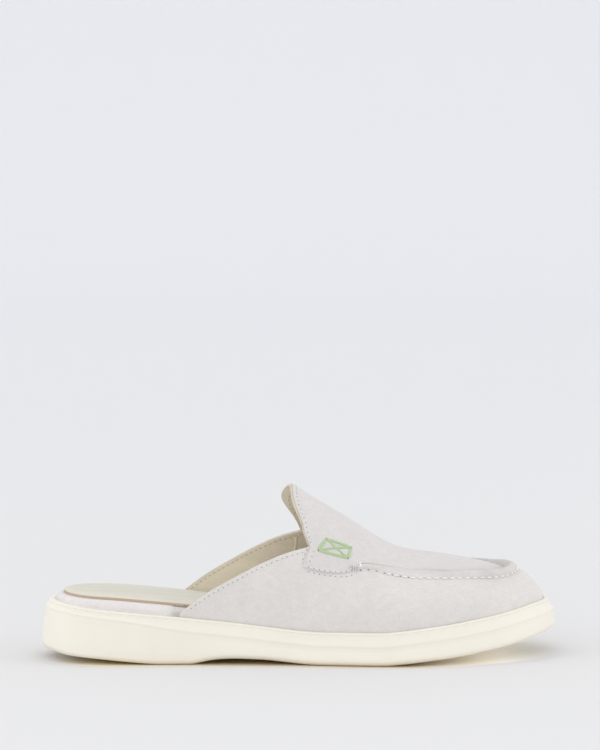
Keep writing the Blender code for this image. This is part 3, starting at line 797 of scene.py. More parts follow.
def shade(colour, factor):
    return tuple(min(1.0, c * factor) for c in colour[:3]) + (1.0,)


def suede_material(name, colour):
    """Brushed suede: a soft nap in streaks and patches, short fibres, and no gloss but a faint sheen."""
    suede = Finish(name)
    place = suede.place()
    cloud = suede.noise(place, 0.016, 3)
    nap = suede.noise(suede.place((0.6, 1, 1), (0.3, 0.2, 0)), 0.0026, 4, 0.6, 0.8)
    fibre = suede.noise(place, 0.00055, 2, 0.7)
    base = suede.mix(suede.ramp(cloud, 0.3, 0.7), shade(colour, 0.96), shade(colour, 1.03))
    base = suede.mix(suede.ramp(nap, 0.30, 0.70, 0, 0.8), base, shade(colour, 0.885))
    base = suede.mix(suede.ramp(fibre, 0.40, 0.75, 0, 0.5), base, shade(colour, 1.16))
    # Painted shade along the roll's fold and in its crease, and the roll's body a little darker, where the piece's
    # crease mark lies
    base = suede.mix(suede.mark("crease"), base, shade(colour, CREASE_SHADE_AND_EDGE_TONE))
    height = suede.maths("ADD", nap, suede.ramp(fibre, 0, 1, 0, 0.8))
    normal = suede.bump(height, 0.00022, 0.55)
    return suede.shaded(base, 0.95, 0.15, normal, sheen=(0.18, 0.45, (1.0, 0.98, 0.96, 1.0)))


def rubber_material(name, colour):
    """Moulded foam rubber: cream, faintly mottled, with a fine matt skin."""
    rubber = Finish(name)
    place = rubber.place()
    cloud = rubber.noise(place, 0.022, 2)
    speck = rubber.noise(place, 0.0009, 3, 0.6)
    base = rubber.mix(rubber.ramp(cloud, 0.3, 0.7), shade(colour, 0.985), shade(colour, 1.01))
    base = rubber.mix(rubber.ramp(speck, 0.3, 0.75, 0, 0.15), base, shade(colour, 0.96))
    roughness = rubber.ramp(cloud, 0.2, 0.8, 0.5, 0.62)
    normal = rubber.bump(speck, 0.00008, 0.35)
    return rubber.shaded(base, roughness, 0.35, normal, sheen=(0.12, 0.5, (1.0, 0.97, 0.92, 1.0)))


def leather_material(name, colour, grain=0.0009, depth=0.00009, contrast=0.07):
    """Smooth leather: fine grain in small cells, with soft cloudy wear."""
    leather = Finish(name)
    place = leather.place()
    cloud = leather.noise(leather.place((0.3, 1, 1)), 0.006, 4, 0.6, 0.5)
    inputs = {"Vector": place, "Scale": 1 / grain}
    cells = leather.node("TexVoronoi", "Distance", inputs, feature="DISTANCE_TO_EDGE")
    wrinkle = leather.ramp(cells, 0.0, 0.28)
    low, high = shade(colour, 1 - contrast), shade(colour, 1 + 0.6 * contrast)
    base = leather.mix(leather.ramp(cloud, 0.32, 0.68), low, high)
    base = leather.mix(leather.ramp(wrinkle, 0, 1, 0.35, 0), base, shade(colour, 0.82))
    # The lining's own darker cut edge, where its crease mark lies
    base = leather.mix(leather.mark("crease"), base, shade(colour, CREASE_SHADE_AND_EDGE_TONE))
    height = leather.maths("ADD", wrinkle, leather.ramp(cloud, 0, 1, 0, 1.5))
    roughness = leather.ramp(cloud, 0.3, 0.7, 0.5, 0.66)
    return leather.shaded(base, roughness, 0.3, leather.bump(height, depth, 0.6))


def thread_material(name, colour):
    """Twisted waxed thread: fine slanting strands, a little sheen."""
    thread = Finish(name)
    inputs = {"Vector": thread.place(turn=(0.4, 0.2, 0.7)), "Scale": 650.0, "Distortion": 1.5}
    strands = thread.node("TexWave", "Fac", inputs)
    base = thread.mix(thread.ramp(strands, 0, 1), shade(colour, 0.86), shade(colour, 1.05))
    normal = thread.bump(strands, 0.0001, 0.5)
    return thread.shaded(base, 0.6, 0.5, normal, sheen=(0.1, 0.5, (1, 1, 1, 1)))


def hole_material(name, colour):
    """Needle holes, as dark beads that paint the shade inside a hole, and raw edges in the leather's own darker
    tone.
    """
    hole = Finish(name)
    speck = hole.noise(hole.place(), 0.0008, 2)
    return hole.shaded(hole.mix(speck, shade(colour, 0.85), shade(colour, 1.15)), 1.0, 0.0)


def material(kind):
    """The shoe's materials, each made once."""
    made = bpy.data.materials.get(kind)
    if made:
        return made
    tints = bpy.context.scene.loafer_colours
    makers = {
        "suede_vamp": (suede_material, tints.suede),
        "suede_apron": (suede_material, tints.apron_suede),
        "suede_band": (suede_material, tints.band_suede),
        "cream_rubber": (rubber_material, tints.rubber),
        "insole_leather": (leather_material, tints.insole),
        "insole_edge": (hole_material, tints.insole_edge),
        "lining_leather": (leather_material, tints.lining),
        "seam_thread": (thread_material, tints.seam_thread),
        "tone_thread": (thread_material, tints.tone_thread),
        "lining_thread": (thread_material, tints.lining_thread),
        "accent_thread": (thread_material, tints.accent_thread),
        "needle_holes": (hole_material, tints.hole),
        "accent_holes": (hole_material, tints.accent_hole),
    }
    make, tint = makers[kind]
    return make(kind, tuple(tint))


# The sole


def ring(turns, inset, height):
    """A ring this far inside the widest line, at the height that each place along the shoe gives."""
    plan = inset_line(turns, inset)
    return np.column_stack([plan, height(plan[:, 0])])


def wall_span(x):
    return rim_height(x) - bottom_height(x)


def within_wall(x, drop):
    """The drop, as far as the side's height has room for it."""
    return np.minimum(drop, 0.6 * wall_span(x))


def above_bottom(share_of_radius):
    """Height over the underside, in shares of the rounding at the side's foot."""
    return lambda x: bottom_height(x) + np.minimum(CORNER_RADIUS, 0.3 * wall_span(x)) * share_of_radius


def lip_height(x):
    """Top of the rim, which is cut a little lower at the very toe."""
    return rim_height(x) - LIP_DROP * eased(share_at(x), 0.935, 0.99)


def below_lip(drop):
    return lambda x: lip_height(x) - within_wall(x, drop)


def groove_height(drop):
    """Height this far below the groove's middle."""
    return lambda x: rim_height(x) - within_wall(x, GROOVE_DROP * sole("groove", x) + drop)


def between(low, high, share):
    """A height that lies a share of the way from one to another."""
    return lambda x: low(x) * (1 - share) + high(x) * share


def bar_places():
    """Where the tread's grooves lie along the shoe."""
    places = []
    for tread in TREADS:
        count = int((tread.end - tread.start) * SOLE_LENGTH / tread.pitch) + 1
        places += [(tread.start - 0.5) * SOLE_LENGTH + k * tread.pitch for k in range(count)]
    return np.array(places)


def sole_reaches():
    """Reaches of the sole's columns: an even run, with more at the tread's grooves and at the toe's
    step."""
    even = np.linspace(0, 1, 121)
    plan = (inset_line(even, CORNER_RADIUS)[:, 0] + inset_line(2 - even, CORNER_RADIUS)[:, 0]) / 2
    marks = [bar_places() + side * BAR_GAP / 2 * near for side in (-1, 1) for near in (0.72, 1.0)]
    marks.append(np.array([STEP_X - 0.15 * MM, STEP_X + 0.15 * MM]))
    extra = np.interp(np.sort(np.concatenate(marks)), plan, even)
    clear = [r for r in even if np.abs(extra - r).min() > 1.2e-3]
    return np.sort(np.concatenate([clear, extra]))


def side_lean(name, turns):
    """How far the sole's side has leaned in at the groove or at the rim."""
    return WALL_LEAN * sole(name, widest_line(turns)[:, 0])


# Angles of the rounding under the sole's side, rows across the side groove in its widths with the
# share of its cut, and rows round the rim's edge in its radii with their share of the side's lean
CORNER_ANGLES = np.radians((90, 74, 58, 43, 29, 14))
GROOVE = table(
    "across cut",
    (1.60, 0.00),
    (1.25, 0.02),
    (0.90, 0.12),
    (0.55, 0.23),
    (0.20, 0.18),
    (-0.15, 0.06),
    (-0.50, 0.00),
)
RIM_EDGE = table(
    "inset drop",
    (-0.06, 2.30),
    (0.05, 1.90),
    (0.02, 1.50),
    (0.00, 1.00),
    (0.06, 0.55),
    (0.12, 0.25),
    (0.20, 0.06),
    (0.32, 0.00),
)


def make_outsole():
    """The rubber unit: its side with the groove, the rim, the recess in it, and the tread."""
    reaches = sole_reaches()
    turns = np.concatenate([reaches, 2 - reaches[-2::-1]])
    at_groove, at_rim = side_lean("lean", turns), side_lean("rim", turns)
    inner = ledge(turns) - SIDE_GAP
    rows = []
    for angle in CORNER_ANGLES:
        inset = CORNER_RADIUS * (1 - math.cos(angle))
        rows.append(ring(turns, inset, above_bottom(1 - math.sin(angle))))
    side_foot = above_bottom(1.0)
    rows.append(ring(turns, 0.0, side_foot))
    for share in (0.25, 0.5, 0.75):
        height = between(side_foot, groove_height(GROOVE_WIDTH * 1.2), share)
        rows.append(ring(turns, at_groove * share, height))
    for across, cut in zip(GROOVE.across, GROOVE.cut):
        rows.append(ring(turns, at_groove + GROOVE_CUT * cut, groove_height(GROOVE_WIDTH * across)))
    for share in (0.35, 0.7, 1.0):
        height = between(groove_height(0.0), below_lip(3.2 * RIM_RADIUS), share)
        rows.append(ring(turns, at_groove + (at_rim - at_groove) * share * 0.85, height))
    for inset, drop in zip(RIM_EDGE.inset, RIM_EDGE.drop):
        rows.append(ring(turns, at_rim + WALL_LEAN * inset, below_lip(RIM_RADIUS * drop)))
    rows.append(ring(turns, inner - RIM_RADIUS / 2, lip_height))
    rows.append(ring(turns, inner - RIM_RADIUS / 8, below_lip(RIM_RADIUS / 3)))
    rows.append(ring(turns, inner, below_lip(RIM_RADIUS)))
    rows.append(ring(turns, inner, seat_height))
    side = np.array(rows)
    over_step = np.maximum(side[..., 2], bottom_height(side[..., 0]) + TREAD_STEP)
    side[..., 2] = np.where(side[..., 0] > STEP_X, over_step, side[..., 2])
    return closed("outsole_rubber", side, tread_grid(side[0]), strips(side[-1], 6))


def sides_of(line):
    """A ring's outer and inner side, each from the heel to the toe."""
    count = (len(line) + 1) // 2
    return line[:count], line[::-1][:count]


def strips(line, across):
    """A grid of strips across the shoe that closes a ring."""
    outer, inner = sides_of(line)
    share = np.linspace(0, 1, across + 1)[:, None, None]
    return outer * (1 - share) + inner * share


def closed(name, rows, under, over):
    """A closed piece from rings, with the grids that close its underside and its top."""
    return joined(name, [laid_grid(rows), laid_grid(under, flip=True), laid_grid(over)], RING_MERGE)


def tread_grid(line):
    """The underside, with the grooves between the tread's bars, which stop a margin short of its edge."""
    outer, inner = sides_of(line)
    width = np.maximum(np.linalg.norm(inner - outer, axis=1), 1e-9)
    margin = np.minimum((BAR_MARGIN - CORNER_RADIUS) / width, 0.3)
    soft = np.minimum(0.4 * MM / width, 0.05)
    third = (0.5 - margin) / 3
    near = [0 * margin, margin * 0.5, margin - soft, margin, margin + third, margin + third * 2]
    share = np.array(near + [0.5 + 0 * margin] + [1 - s for s in near[::-1]])
    points = outer * (1 - share[..., None]) + inner * share[..., None]
    x = points[..., 0]
    away = np.abs(x[..., None] - bar_places()).min(-1)
    deep = 1 - eased(away, 0.7 * BAR_GAP / 2, BAR_GAP / 2 * 1.02)
    inside = (share >= margin - 1e-9) & (share <= 1 - margin + 1e-9)
    floor = np.where(x > STEP_X, bottom_height(x) + TREAD_STEP, bottom_height(x))
    lifted = floor + BAR_CUT * deep * inside
    points[..., 2] = np.where((share > 0) & (share < 1), lifted, points[..., 2])
    return points


def tuck(turns):
    """How far the midsole steps in to pass inside the upper."""
    back = TOPLINE.along[0]
    x = widest_line(turns)[:, 0]
    return (WALL + TUCK_GAP) * eased(share_at(x), back - 0.022, back - 0.006)


def midsole_top(x):
    front = eased(share_at(x), TOPLINE.along[0] + 0.05, 0.60)
    stand = MIDSOLE_STAND + (MIDSOLE_FRONT_STAND - MIDSOLE_STAND) * front
    return rim_height(x) + stand - HEEL_DIP * (1 - eased(share_at(x), 0, HEEL_DIP_END))


EDGE_ANGLES = np.radians((0, 12, 24, 36, 48, 60, 70, 80, 90))
EVEN_REACHES = np.linspace(0, 1, 141)
EVEN_TURNS = np.concatenate([EVEN_REACHES, 2 - EVEN_REACHES[-2::-1]])


def ring_below(inset, top, drop):
    """A ring that lies this far below a top."""
    return ring(EVEN_TURNS, inset, lambda x: top(x) - drop)


def rounded_top(inset, top, across, down, start=0.0):
    """Rings round an edge, from its side up to its top, whose rounding is this wide and this deep."""
    rows = []
    for angle in EDGE_ANGLES:
        drop = start + down * (1 - math.sin(angle))
        rows.append(ring_below(inset + across * (1 - math.cos(angle)), top, drop))
    return rows


# Rows at the foot of the suede band: how far in from its side, and how high over the seat
BAND_FOOT = table(
    "inset up",
    (-0.0003, 0.0000),
    (-0.0003, 0.0010),
    (-0.0002, 0.0019),
    (0.0001, 0.0025),
)


def make_midsole():
    """The footbed's platform, wrapped in suede that draws in a little where it meets the rim."""
    side = ledge(EVEN_TURNS) + tuck(EVEN_TURNS)
    rows = []
    for inset, up in zip(BAND_FOOT.inset, BAND_FOOT.up):
        rows.append(ring(EVEN_TURNS, side + inset, lambda x, up=up: seat_height(x) + REST_GAP + up))
    rows += rounded_top(side, midsole_top, MIDSOLE_EDGE_RADIUS, MIDSOLE_EDGE_RADIUS)
    return closed("midsole_wrap", np.array(rows), strips(rows[0], 4), strips(rows[-1], 8))


def insole_top(x):
    return midsole_top(x) + REST_GAP + INSOLE_THICKNESS


# The sock's edge: how far in and down its rounding goes. Then its crown's two stretches inwards.
SOCK_EDGE_ACROSS, SOCK_EDGE_DOWN = 0.0014, 0.0013
CROWN_ACROSS, CUP_ACROSS = BALL_WIDTH / 24, BALL_WIDTH / 12


def make_insole():
    """The sock: a thin padded slab with a soft rolled edge and a shallow cup under the heel."""
    toe = np.clip((along_of(folded(EVEN_TURNS)[1]) - 0.75) / 0.25, 0, 1)
    side = ledge(EVEN_TURNS) + INSOLE_INSET + INSOLE_TOE_INSET * toe
    crown = INSOLE_THICKNESS / 4
    rows = [ring(EVEN_TURNS, side + 0.2 * MM, lambda x: midsole_top(x) + 0.05 * MM)]
    rows += rounded_top(side, insole_top, SOCK_EDGE_ACROSS, SOCK_EDGE_DOWN, start=crown)
    for share in (0.2, 0.4, 0.65, 1.0):
        inset = side + SOCK_EDGE_ACROSS + (CROWN_ACROSS - SOCK_EDGE_ACROSS) * share
        rows.append(ring_below(inset, insole_top, crown * (1 - math.sin(share * math.pi / 2))))
    for share in (0.25, 0.5, 0.75, 1.0):
        sink = ring(EVEN_TURNS, side + CROWN_ACROSS + CUP_ACROSS * share, insole_top)
        sink[:, 2] -= np.clip(1 - share_at(sink[:, 0]) / 0.4, 0, 1) * HEEL_CUP * share
        rows.append(sink)
    return closed("insole_sock", np.array(rows), strips(rows[0], 4), strips(rows[-1], 8))


# The upper

QUARTER_COLUMNS = 64
FRONT_COLUMNS = 230


def front_reaches(start):
    return np.linspace(reach_at(start), 1, FRONT_COLUMNS)


def quarter_reaches():
    return reach_at(np.linspace(TOPLINE.along[0], THROAT, QUARTER_COLUMNS))


# Rows of the vamp below the roll and above it
WALL_ROWS, TAIL_ROWS = 22, 12


def vamp_climbs(guide):
    """Rows of the vamp: up the wall, across the rolled seam, and on under the apron or up to the
    topline."""
    roll = guide.edge + ROLL.across[:, None] * seam_width_at(guide.along) / guide.per_climb
    wall = roll[0] * np.linspace(0, 1, WALL_ROWS + 1)[:-1, None]
    gone = eased(guide.along, 0.565, ROLL_START[0])
    tail_end = guide.level * (1 - gone) + (guide.seam_end + 0.4 * MM / guide.per_climb) * gone
    tail = roll[-1] + (tail_end - roll[-1]) * np.linspace(0, 1, TAIL_ROWS + 1)[1:, None]
    return np.concatenate([wall, roll, tail]) * guide.shrink


def pucker(guide):
    """How far the thread draws each column of the roll in, from -1 at a stitch to 1 between two."""
    reach, _, run = seam_run("outer")
    at = np.interp(reach_at(guide.along), reach, run)
    return np.cos(2 * math.pi * at / sizes().seam_pitch)


def roll_height(low, full, along):
    """Height of the roll, from its low section at the tab to its full one at the toe."""
    grown = eased(along, 0.70, 0.88)
    return sizes().seam_height * (low * (1 - grown) + full * grown)


def roll_stand(guide):
    """Stand of the roll's rows over the face, and down into the crease."""
    stand = roll_height(ROLL.low[:, None], ROLL.full[:, None], guide.along)
    return stand + ROLL.sunk[:, None] * np.minimum(apron_stand(guide.along), 0)


def hump(value, middle, width):
    """1 at the middle, and fading to both sides over this width."""
    return np.exp(-(((value - middle) / width) ** 2))


def vamp_stand(guide, climb):
    """The roll's section over the face, drawn in at each stitch, and the strip that goes on under the
    apron."""
    drawn = hump(ROLL.across, 0.12, 0.2) + 0.7 * hump(ROLL.across, 0.92, 0.12)
    roll = roll_stand(guide) + 0.18 * MM * drawn[:, None] * pucker(guide)
    under = np.minimum(roll[-1], apron_stand(guide.along) - sizes().suede_thickness - 0.05 * MM)
    wall = np.zeros((WALL_ROWS, len(guide.along)))
    rolled = np.concatenate([wall, roll, np.repeat(under[None], TAIL_ROWS, 0)])
    return rolled * eased(guide.along, *ROLL_START) + vamp_softness(guide, climb)


def vamp_back(guide, climb):
    """The vamp's inner face, a suede's thickness inside, and always behind the outer one."""
    return np.minimum(-sizes().suede_thickness, vamp_stand(guide, climb) - 0.12 * MM)


def toe_swell(along, climb):
    """The vamp stands a little fuller in front of the roll."""
    return 1.0 * MM * eased(along, 0.90, 0.97) * hump(climb, math.radians(35), math.radians(9))


def vamp_softness(guide, climb):
    """Soft hollows and swells that hand lasting leaves in the wall, and its fuller foot at the toe."""
    share = climb / (guide.edge * guide.shrink)
    wave = np.sin(guide.along * 31 + 0.7) * np.sin(share * 3.1)
    wave = wave + 0.6 * np.sin(guide.along * 57 + 2.1) * np.sin(share * 4.6 + 0.4)
    waved = 0.16 * MM * wave * np.clip(share, 0, 1) * np.clip(1.25 - share, 0, 1)
    low = 1 - eased(climb, math.radians(7), math.radians(16))
    foot = 0.33 * MM * eased(guide.along, 0.80, 0.90) * low
    return waved + foot + toe_swell(guide.along, climb)


# A line along which the leather darkens: painted shade in the roll's fold and crease, and the lining's own darker
# cut edge. Its points, how dark it is there and how far the darkening spreads
ShadeAndEdgeLine = namedtuple("ShadeAndEdgeLine", "points dark spread")
FOLD_ACROSS = 0.80


def fold_shade_line():
    """Painted shade along the roll's fold as it shows from the outer side, just short of its top."""
    along = np.linspace(ROLL_START[1], 0.83, 400)
    low, full = (np.interp(FOLD_ACROSS, ROLL.across, heights) for heights in (ROLL.low, ROLL.full))
    stand = roll_height(low, full, along)
    points = []
    for side in SIDES:
        guide = guides(reach_at(along), side.rise)
        climb = guide.edge + FOLD_ACROSS * (guide.seam_end - guide.edge)
        points.append(on_face(turn_of(side.name, reach_at(along)), climb, stand))
    dark = 0.95 - 0.20 * eased(along, 0.63, 0.68) - 0.45 * eased(along, 0.78, 0.83)
    return ShadeAndEdgeLine(np.concatenate(points), np.tile(dark, 2), np.full(2 * len(along), 0.50 * MM))


def crease_shade_line():
    """Painted shade at the bottom of the crease at the toe, where the roll shades the sunk apron."""
    along = np.linspace(0.73, along_at(1.0), 400)
    stand = apron_stand(along) - 0.1 * MM
    points = []
    for side in SIDES:
        guide = guides(reach_at(along), side.rise)
        points.append(on_face(turn_of(side.name, reach_at(along)), guide.seam_end, stand))
    dark = 0.75 * eased(along, 0.72, 0.79) - 0.43 * eased(along, 0.86, 0.92)
    spread = 2.2 * MM + 3.8 * MM * eased(along, 0.82, 0.92)
    return ShadeAndEdgeLine(np.concatenate(points), np.tile(dark, 2), np.tile(spread, 2))


def rim_line():
    """The lining's cut edge along the toplines and round the tongue."""
    lines = [topline_run(side.name, side.rise, 0.0, -WALL)[0] for side in SIDES]
    half = sizes().lining_thickness / 2
    lines.append(tongue_run(0.0, lambda guide, climb: lining_stand(guide, climb) + half)[0])
    points = np.concatenate(lines)
    return ShadeAndEdgeLine(points, np.full(len(points), 0.36), np.full(len(points), 0.8 * MM))


def marked(piece, lines, body=0.0):
    """The piece, whose material darkens close to each line, and by this share over the roll's body. Near the roll's
    fold and crease this is painted shade, at the lining's rim its own darker cut edge.
    """
    places = places_of(piece)
    values = np.zeros(len(places), np.float32)
    for line in lines:
        k, away = nearest(line.points, places)
        shaded = line.dark[k] * np.exp(-((away / line.spread[k]) ** 2))
        behind_toe = 1 - eased(share_at(places[:, 0]), 0.84, 0.90)
        near_roll = body * (1 - eased(away, 2.8 * MM, 3.8 * MM)) * behind_toe
        values = np.maximum(values, np.maximum(shaded, near_roll))
    write_mark(piece, "crease", values)
    return piece


def make_vamp():
    """The vamp and both quarters in one piece of suede, whose edge rolls up along the apron."""
    reach = np.concatenate([quarter_reaches()[:-1], front_reaches(THROAT)])
    outer = both_sides(reach, vamp_climbs, vamp_stand)
    inner = both_sides(reach, vamp_climbs, vamp_back)
    vamp = walled("vamp", [round_the_toe(outer)], [round_the_toe(inner)])
    rounded(vamp, 0.3 * MM)
    # Painted shade along the roll's fold and in the crease, and the roll's body a little darker
    return marked(vamp, [fold_shade_line(), crease_shade_line()], body=0.15)


def apron_edge(guide):
    """Climb of the apron's free edge: the tab's lower edge, then up its front to the crease inside
    the roll."""
    turned = eased(guide.along, *TAB_FRONT)
    return guide.edge + turned * 0.985 * seam_width_at(guide.along) / guide.per_climb


# Rows of the apron, as shares of the way from its edge to the instep line, close together at the edge
APRON_ROWS = np.concatenate([[0, 0.008, 0.018, 0.032, 0.05, 0.075], np.linspace(0.105, 1, 26)])


def apron_climbs(guide):
    edge = apron_edge(guide)
    return edge + (math.pi / 2 - edge) * APRON_ROWS[:, None]


def apron_face(guide, climb):
    """The apron's face dips into the crease beside the roll, is skived thin at the tab's front corner,
    and waves a little where the hand has lasted it."""
    turned = eased(guide.along, *ROLL_START)
    away = (climb - apron_edge(guide)) * guide.per_climb
    dip = turned * 0.45 * MM * np.exp(-away / (1.2 * MM))
    corner = eased(guide.along, 0.572, TAB_FRONT[0]) * (1 - turned)
    skived = 0.85 * sizes().lap * corner * np.exp(-away / (3 * MM))
    lasted = np.sin(guide.along * 24 + 1.0) * np.sin((climb - guide.edge) * 5.0)
    waved = 0.12 * MM * lasted * np.clip(away / (6 * MM), 0, 1)
    return apron_stand(guide.along) - dip - skived + waved


def make_apron():
    """The apron with its tongue and side tabs, cut from one piece of suede."""
    reach = front_reaches(THROAT + 0.4 * MM / SOLE_LENGTH)
    skins = []
    for depth in (0.0, sizes().suede_thickness):
        stand = lambda guide, climb, depth=depth: apron_face(guide, climb) - depth
        skins.append([over_the_instep(both_sides(reach, apron_climbs, stand))])
    apron = walled("apron", *skins)
    rounded(apron, 0.25 * MM)
    # Painted shade along the roll's fold and in the crease
    return marked(apron, [fold_shade_line(), crease_shade_line()])


# Rows of the lining over the throat's level, as shares of the way from there to the instep line
CROWN_ROWS = np.concatenate([[0.02, 0.05, 0.09], np.linspace(0.14, 1, 20)])


def lining_climbs(guide, crown=True):
    level = guide.level - 0.3 * MM / guide.per_climb
    wall = level * np.linspace(0, 1, 25)[:, None] * guide.shrink
    if not crown:
        return wall
    return np.concatenate([wall, level + (math.pi / 2 - level) * CROWN_ROWS[:, None]])


def lining_stand(guide, climb):
    """The lining lies a wall's thickness inside. Under the apron it follows the apron out at the
    tongue and in at the toe."""
    over = eased((climb - guide.level * guide.shrink) * guide.per_climb, 0, 3.5 * MM)
    sunk = eased((climb - guide.edge * guide.shrink) * guide.per_climb, 0.5 * MM, 4 * MM)
    stand = apron_stand(guide.along)
    return -WALL + over * np.maximum(stand, 0) + sunk * np.minimum(stand, 0)


def make_lining():
    """The leather lining of the whole upper, with the tongue's in one piece."""
    front, quarter = front_reaches(THROAT), quarter_reaches()
    skins = []
    for lift in (sizes().lining_thickness, 0.0):
        stand = lambda guide, climb, lift=lift: lining_stand(guide, climb) + lift
        outer, inner = both_sides(quarter, lambda guide: lining_climbs(guide, crown=False), stand)
        skins.append([over_the_instep(both_sides(front, lining_climbs, stand)), outer, inner[::-1]])
    lining = walled("lining", *skins)
    rounded(lining, 0.25 * MM)
    return marked(lining, [rim_line()])


# Threads and needle holes


Run = namedtuple("Run", "points tangents normals")


def read_line(at, run, values):
    """A line's points or normals at these lengths run."""
    return np.stack([np.interp(at, run, values[:, k]) for k in range(3)], -1)


def square_to(normals, tangents):
    """The normals, turned square to the line."""
    return unit(normals - tangents * (normals * tangents).sum(1, keepdims=True))


def spaced(points, normals, pitch, start=0.5):
    """Places at a steady pitch along a line of points, with the line's direction and the surface's
    normal."""
    run = run_lengths(points)
    at = (np.arange(max(1, int(run[-1] / pitch - start + 1))) + start) * pitch
    at = at[at < run[-1]]
    before, after = read_line(at - pitch / 4, run, points), read_line(at + pitch / 4, run, points)
    tangents = unit(after - before)
    return Run(read_line(at, run, points), tangents, square_to(read_line(at, run, normals), tangents))


def whole_line(line_of):
    """One line over both sides, from the lines of the outer and the inner, which end at one point."""
    outer, inner = (line_of(side) for side in SIDES)
    return tuple(np.concatenate([one, two[-2::-1]]) for one, two in zip(outer, inner))


def line_on_face(turn, climb, stand):
    """Points over the upper's face, and its normals there."""
    turn, climb, stand = np.broadcast_arrays(turn, climb, stand)
    return on_face(turn, climb, stand), face_normal(turn, climb)


def ball(rings, radius, stretch, lying=False):
    """A stretched ball, whose poles lie along it or point up."""
    bare_scene()
    rotation = (0, math.pi / 2, 0) if lying else (0, 0, 0)
    bpy.ops.mesh.primitive_uv_sphere_add(
        segments=8, ring_count=rings, radius=radius, location=(0, 0, 0), rotation=rotation
    )
    bpy.ops.object.transform_apply(location=False, rotation=True, scale=False)
    with all_in_edit():
        bpy.ops.transform.resize(value=stretch)
    return bpy.context.object


def model_stitch(length, width, bend=0.3):
    """One stitch: a stretched ball whose ends dip into the leather."""
    stitch = ball(6, 0.5, (length, width, width * 0.8), lying=True)
    for vertex in stitch.data.vertices:
        share = 2 * vertex.co.x / length
        vertex.co.x = math.copysign(abs(share) ** 0.8, share) * length / 2
        vertex.co.z -= bend * width * share * share
    return stitch


def model_hole(width, longer=1.0):
    """One needle hole: a flat dark bead in the leather's face, painted with the shade inside a hole."""
    return ball(4, width / 2, (longer, 1, 0.25))


def copied_along(name, model, runs, slant=0.0, lift=0.0):
    """Copies of one model at every place of the runs, joined."""
    copies = []
    tilt = Matrix.Rotation(slant, 4, "Z")
    for run in runs:
        for place, tangent, normal in zip(run.points, run.tangents, run.normals):
            aside = np.cross(normal, tangent)
            axes = Matrix(np.column_stack([tangent, aside, normal]).tolist()).to_4x4()
            copy = model.copy()
            copy.data = model.data.copy()
            copy.data.transform(Matrix.Translation(Vector(place + normal * lift)) @ axes @ tilt)
            bpy.context.scene.collection.objects.link(copy)
            copies.append(copy)
    bpy.data.objects.remove(model)
    return joined(name, copies, merge=None)


def topline_run(side, rise, below, stand):
    """Line under a quarter's topline."""
    along = np.linspace(TOPLINE.along[0] + 0.014, THROAT - 0.006, 300)
    reach = reach_at(along)
    climb = topline_climb(along, rise)
    climb = climb - below / metres_per_climb(reach, climb)
    return line_on_face(turn_of(side, reach), climb, stand)


def tab_lower_run(side, aside, stand):
    """Line beside the tab's lower edge, from its back corner to its front."""
    along = np.linspace(0.499, TAB_FRONT[0] - 0.002, 120)
    reach = reach_at(along)
    climb = apron_climb(along)
    climb = climb + aside / metres_per_climb(reach, climb)
    return line_on_face(turn_of(side, reach), climb, stand)


def tab_back_run(side, rise, ahead, stand):
    """Line beside the tab's slanting back edge."""
    edge = float(apron_climb(THROAT))
    level = float(topline_climb(THROAT, rise))
    climb = np.linspace(edge + 0.02, level - 0.02, 60)
    back = (level - climb) / (level - edge) * TAB_SLANT
    along = THROAT - (back - ahead) / SOLE_LENGTH
    return line_on_face(turn_of(side, reach_at(along)), climb, stand)


def tongue_run(inset, stand_of):
    """Line inside the tongue's rim, from one side's throat over the instep to the other's."""

    def half(side):
        reach = np.full(120, float(reach_at(THROAT + inset / SOLE_LENGTH)))
        guide = guides(reach, side.rise)
        climb = guide.level + (math.pi / 2 - guide.level) * np.linspace(0.0, 1, 120)
        turn = turn_of(side.name, slid_back(reach, climb, guide, side.name))
        return line_on_face(turn, climb, stand_of(guide, climb))

    return whole_line(half)


def split_ends(run, count):
    """The first and last few places of a run, and those between them."""
    k = np.arange(len(run.points))
    end = np.minimum(k, k[::-1]) < count
    return Run(*(values[end] for values in run)), Run(*(values[~end] for values in run))


# How many stitches and holes at each end of the seam are pulled in
SUNK_STITCHES, WIDE_HOLES = 3, 7


def seam_base(side):
    """Line along the rolled seam's outer base, where the hand stitches lie."""
    reach, climb, _ = seam_run(side.name)
    climb = climb + 0.02 * sizes().seam_width / metres_per_climb(reach, climb)
    stand = 0.2 * MM + toe_swell(along_at(reach), climb)
    return line_on_face(turn_of(side.name, reach), climb, stand)


def make_seam_stitches():
    """Hand stitches of white thread round the roll's outer base, pulled in at both ends, and their holes, flat dark
    beads of painted shade that are wider there."""
    pitch, thread = sizes().seam_pitch, sizes().seam_thread
    points, normals = whole_line(seam_base)
    ends, shown = split_ends(spaced(points, normals, pitch), SUNK_STITCHES)
    low = copied_along("sunk_stitches", model_stitch(0.6 * pitch, 0.6 * thread), [ends], lift=-0.2 * MM)
    high = copied_along("shown_stitches", model_stitch(0.6 * pitch, thread), [shown], 0.10, 0.1 * MM)
    ends, others = split_ends(spaced(points, normals, pitch, start=0.0), WIDE_HOLES)
    wide = copied_along("wide_holes", model_hole(0.85 * MM), [ends], lift=0.03 * MM)
    fine = copied_along("fine_holes", model_hole(0.34 * MM), [others], lift=0.03 * MM)
    return joined("seam_stitches", [high, low], merge=None), joined("seam_holes", [wide, fine], merge=None)


def make_roll_ends():
    """A loop of white thread over the start of the roll on each side."""
    parts = []
    across = np.linspace(0.40, 1.30, 40)
    along = np.full(len(across), ROLL_START[1] - 0.0006)
    base = apron_climb(along)
    climb = base + across * seam_width_at(along) / metres_per_climb(reach_at(along), base)
    stand = sizes().seam_height * np.interp(across, ROLL.across, ROLL.low).clip(0.2)
    for side in SIDES:
        points, normals = line_on_face(turn_of(side.name, reach_at(along)), climb, stand)
        parts.append(tube("end", points, normals, 0.9 * MM, 0.6 * MM))
    return joined("roll_ends", parts, merge=None)


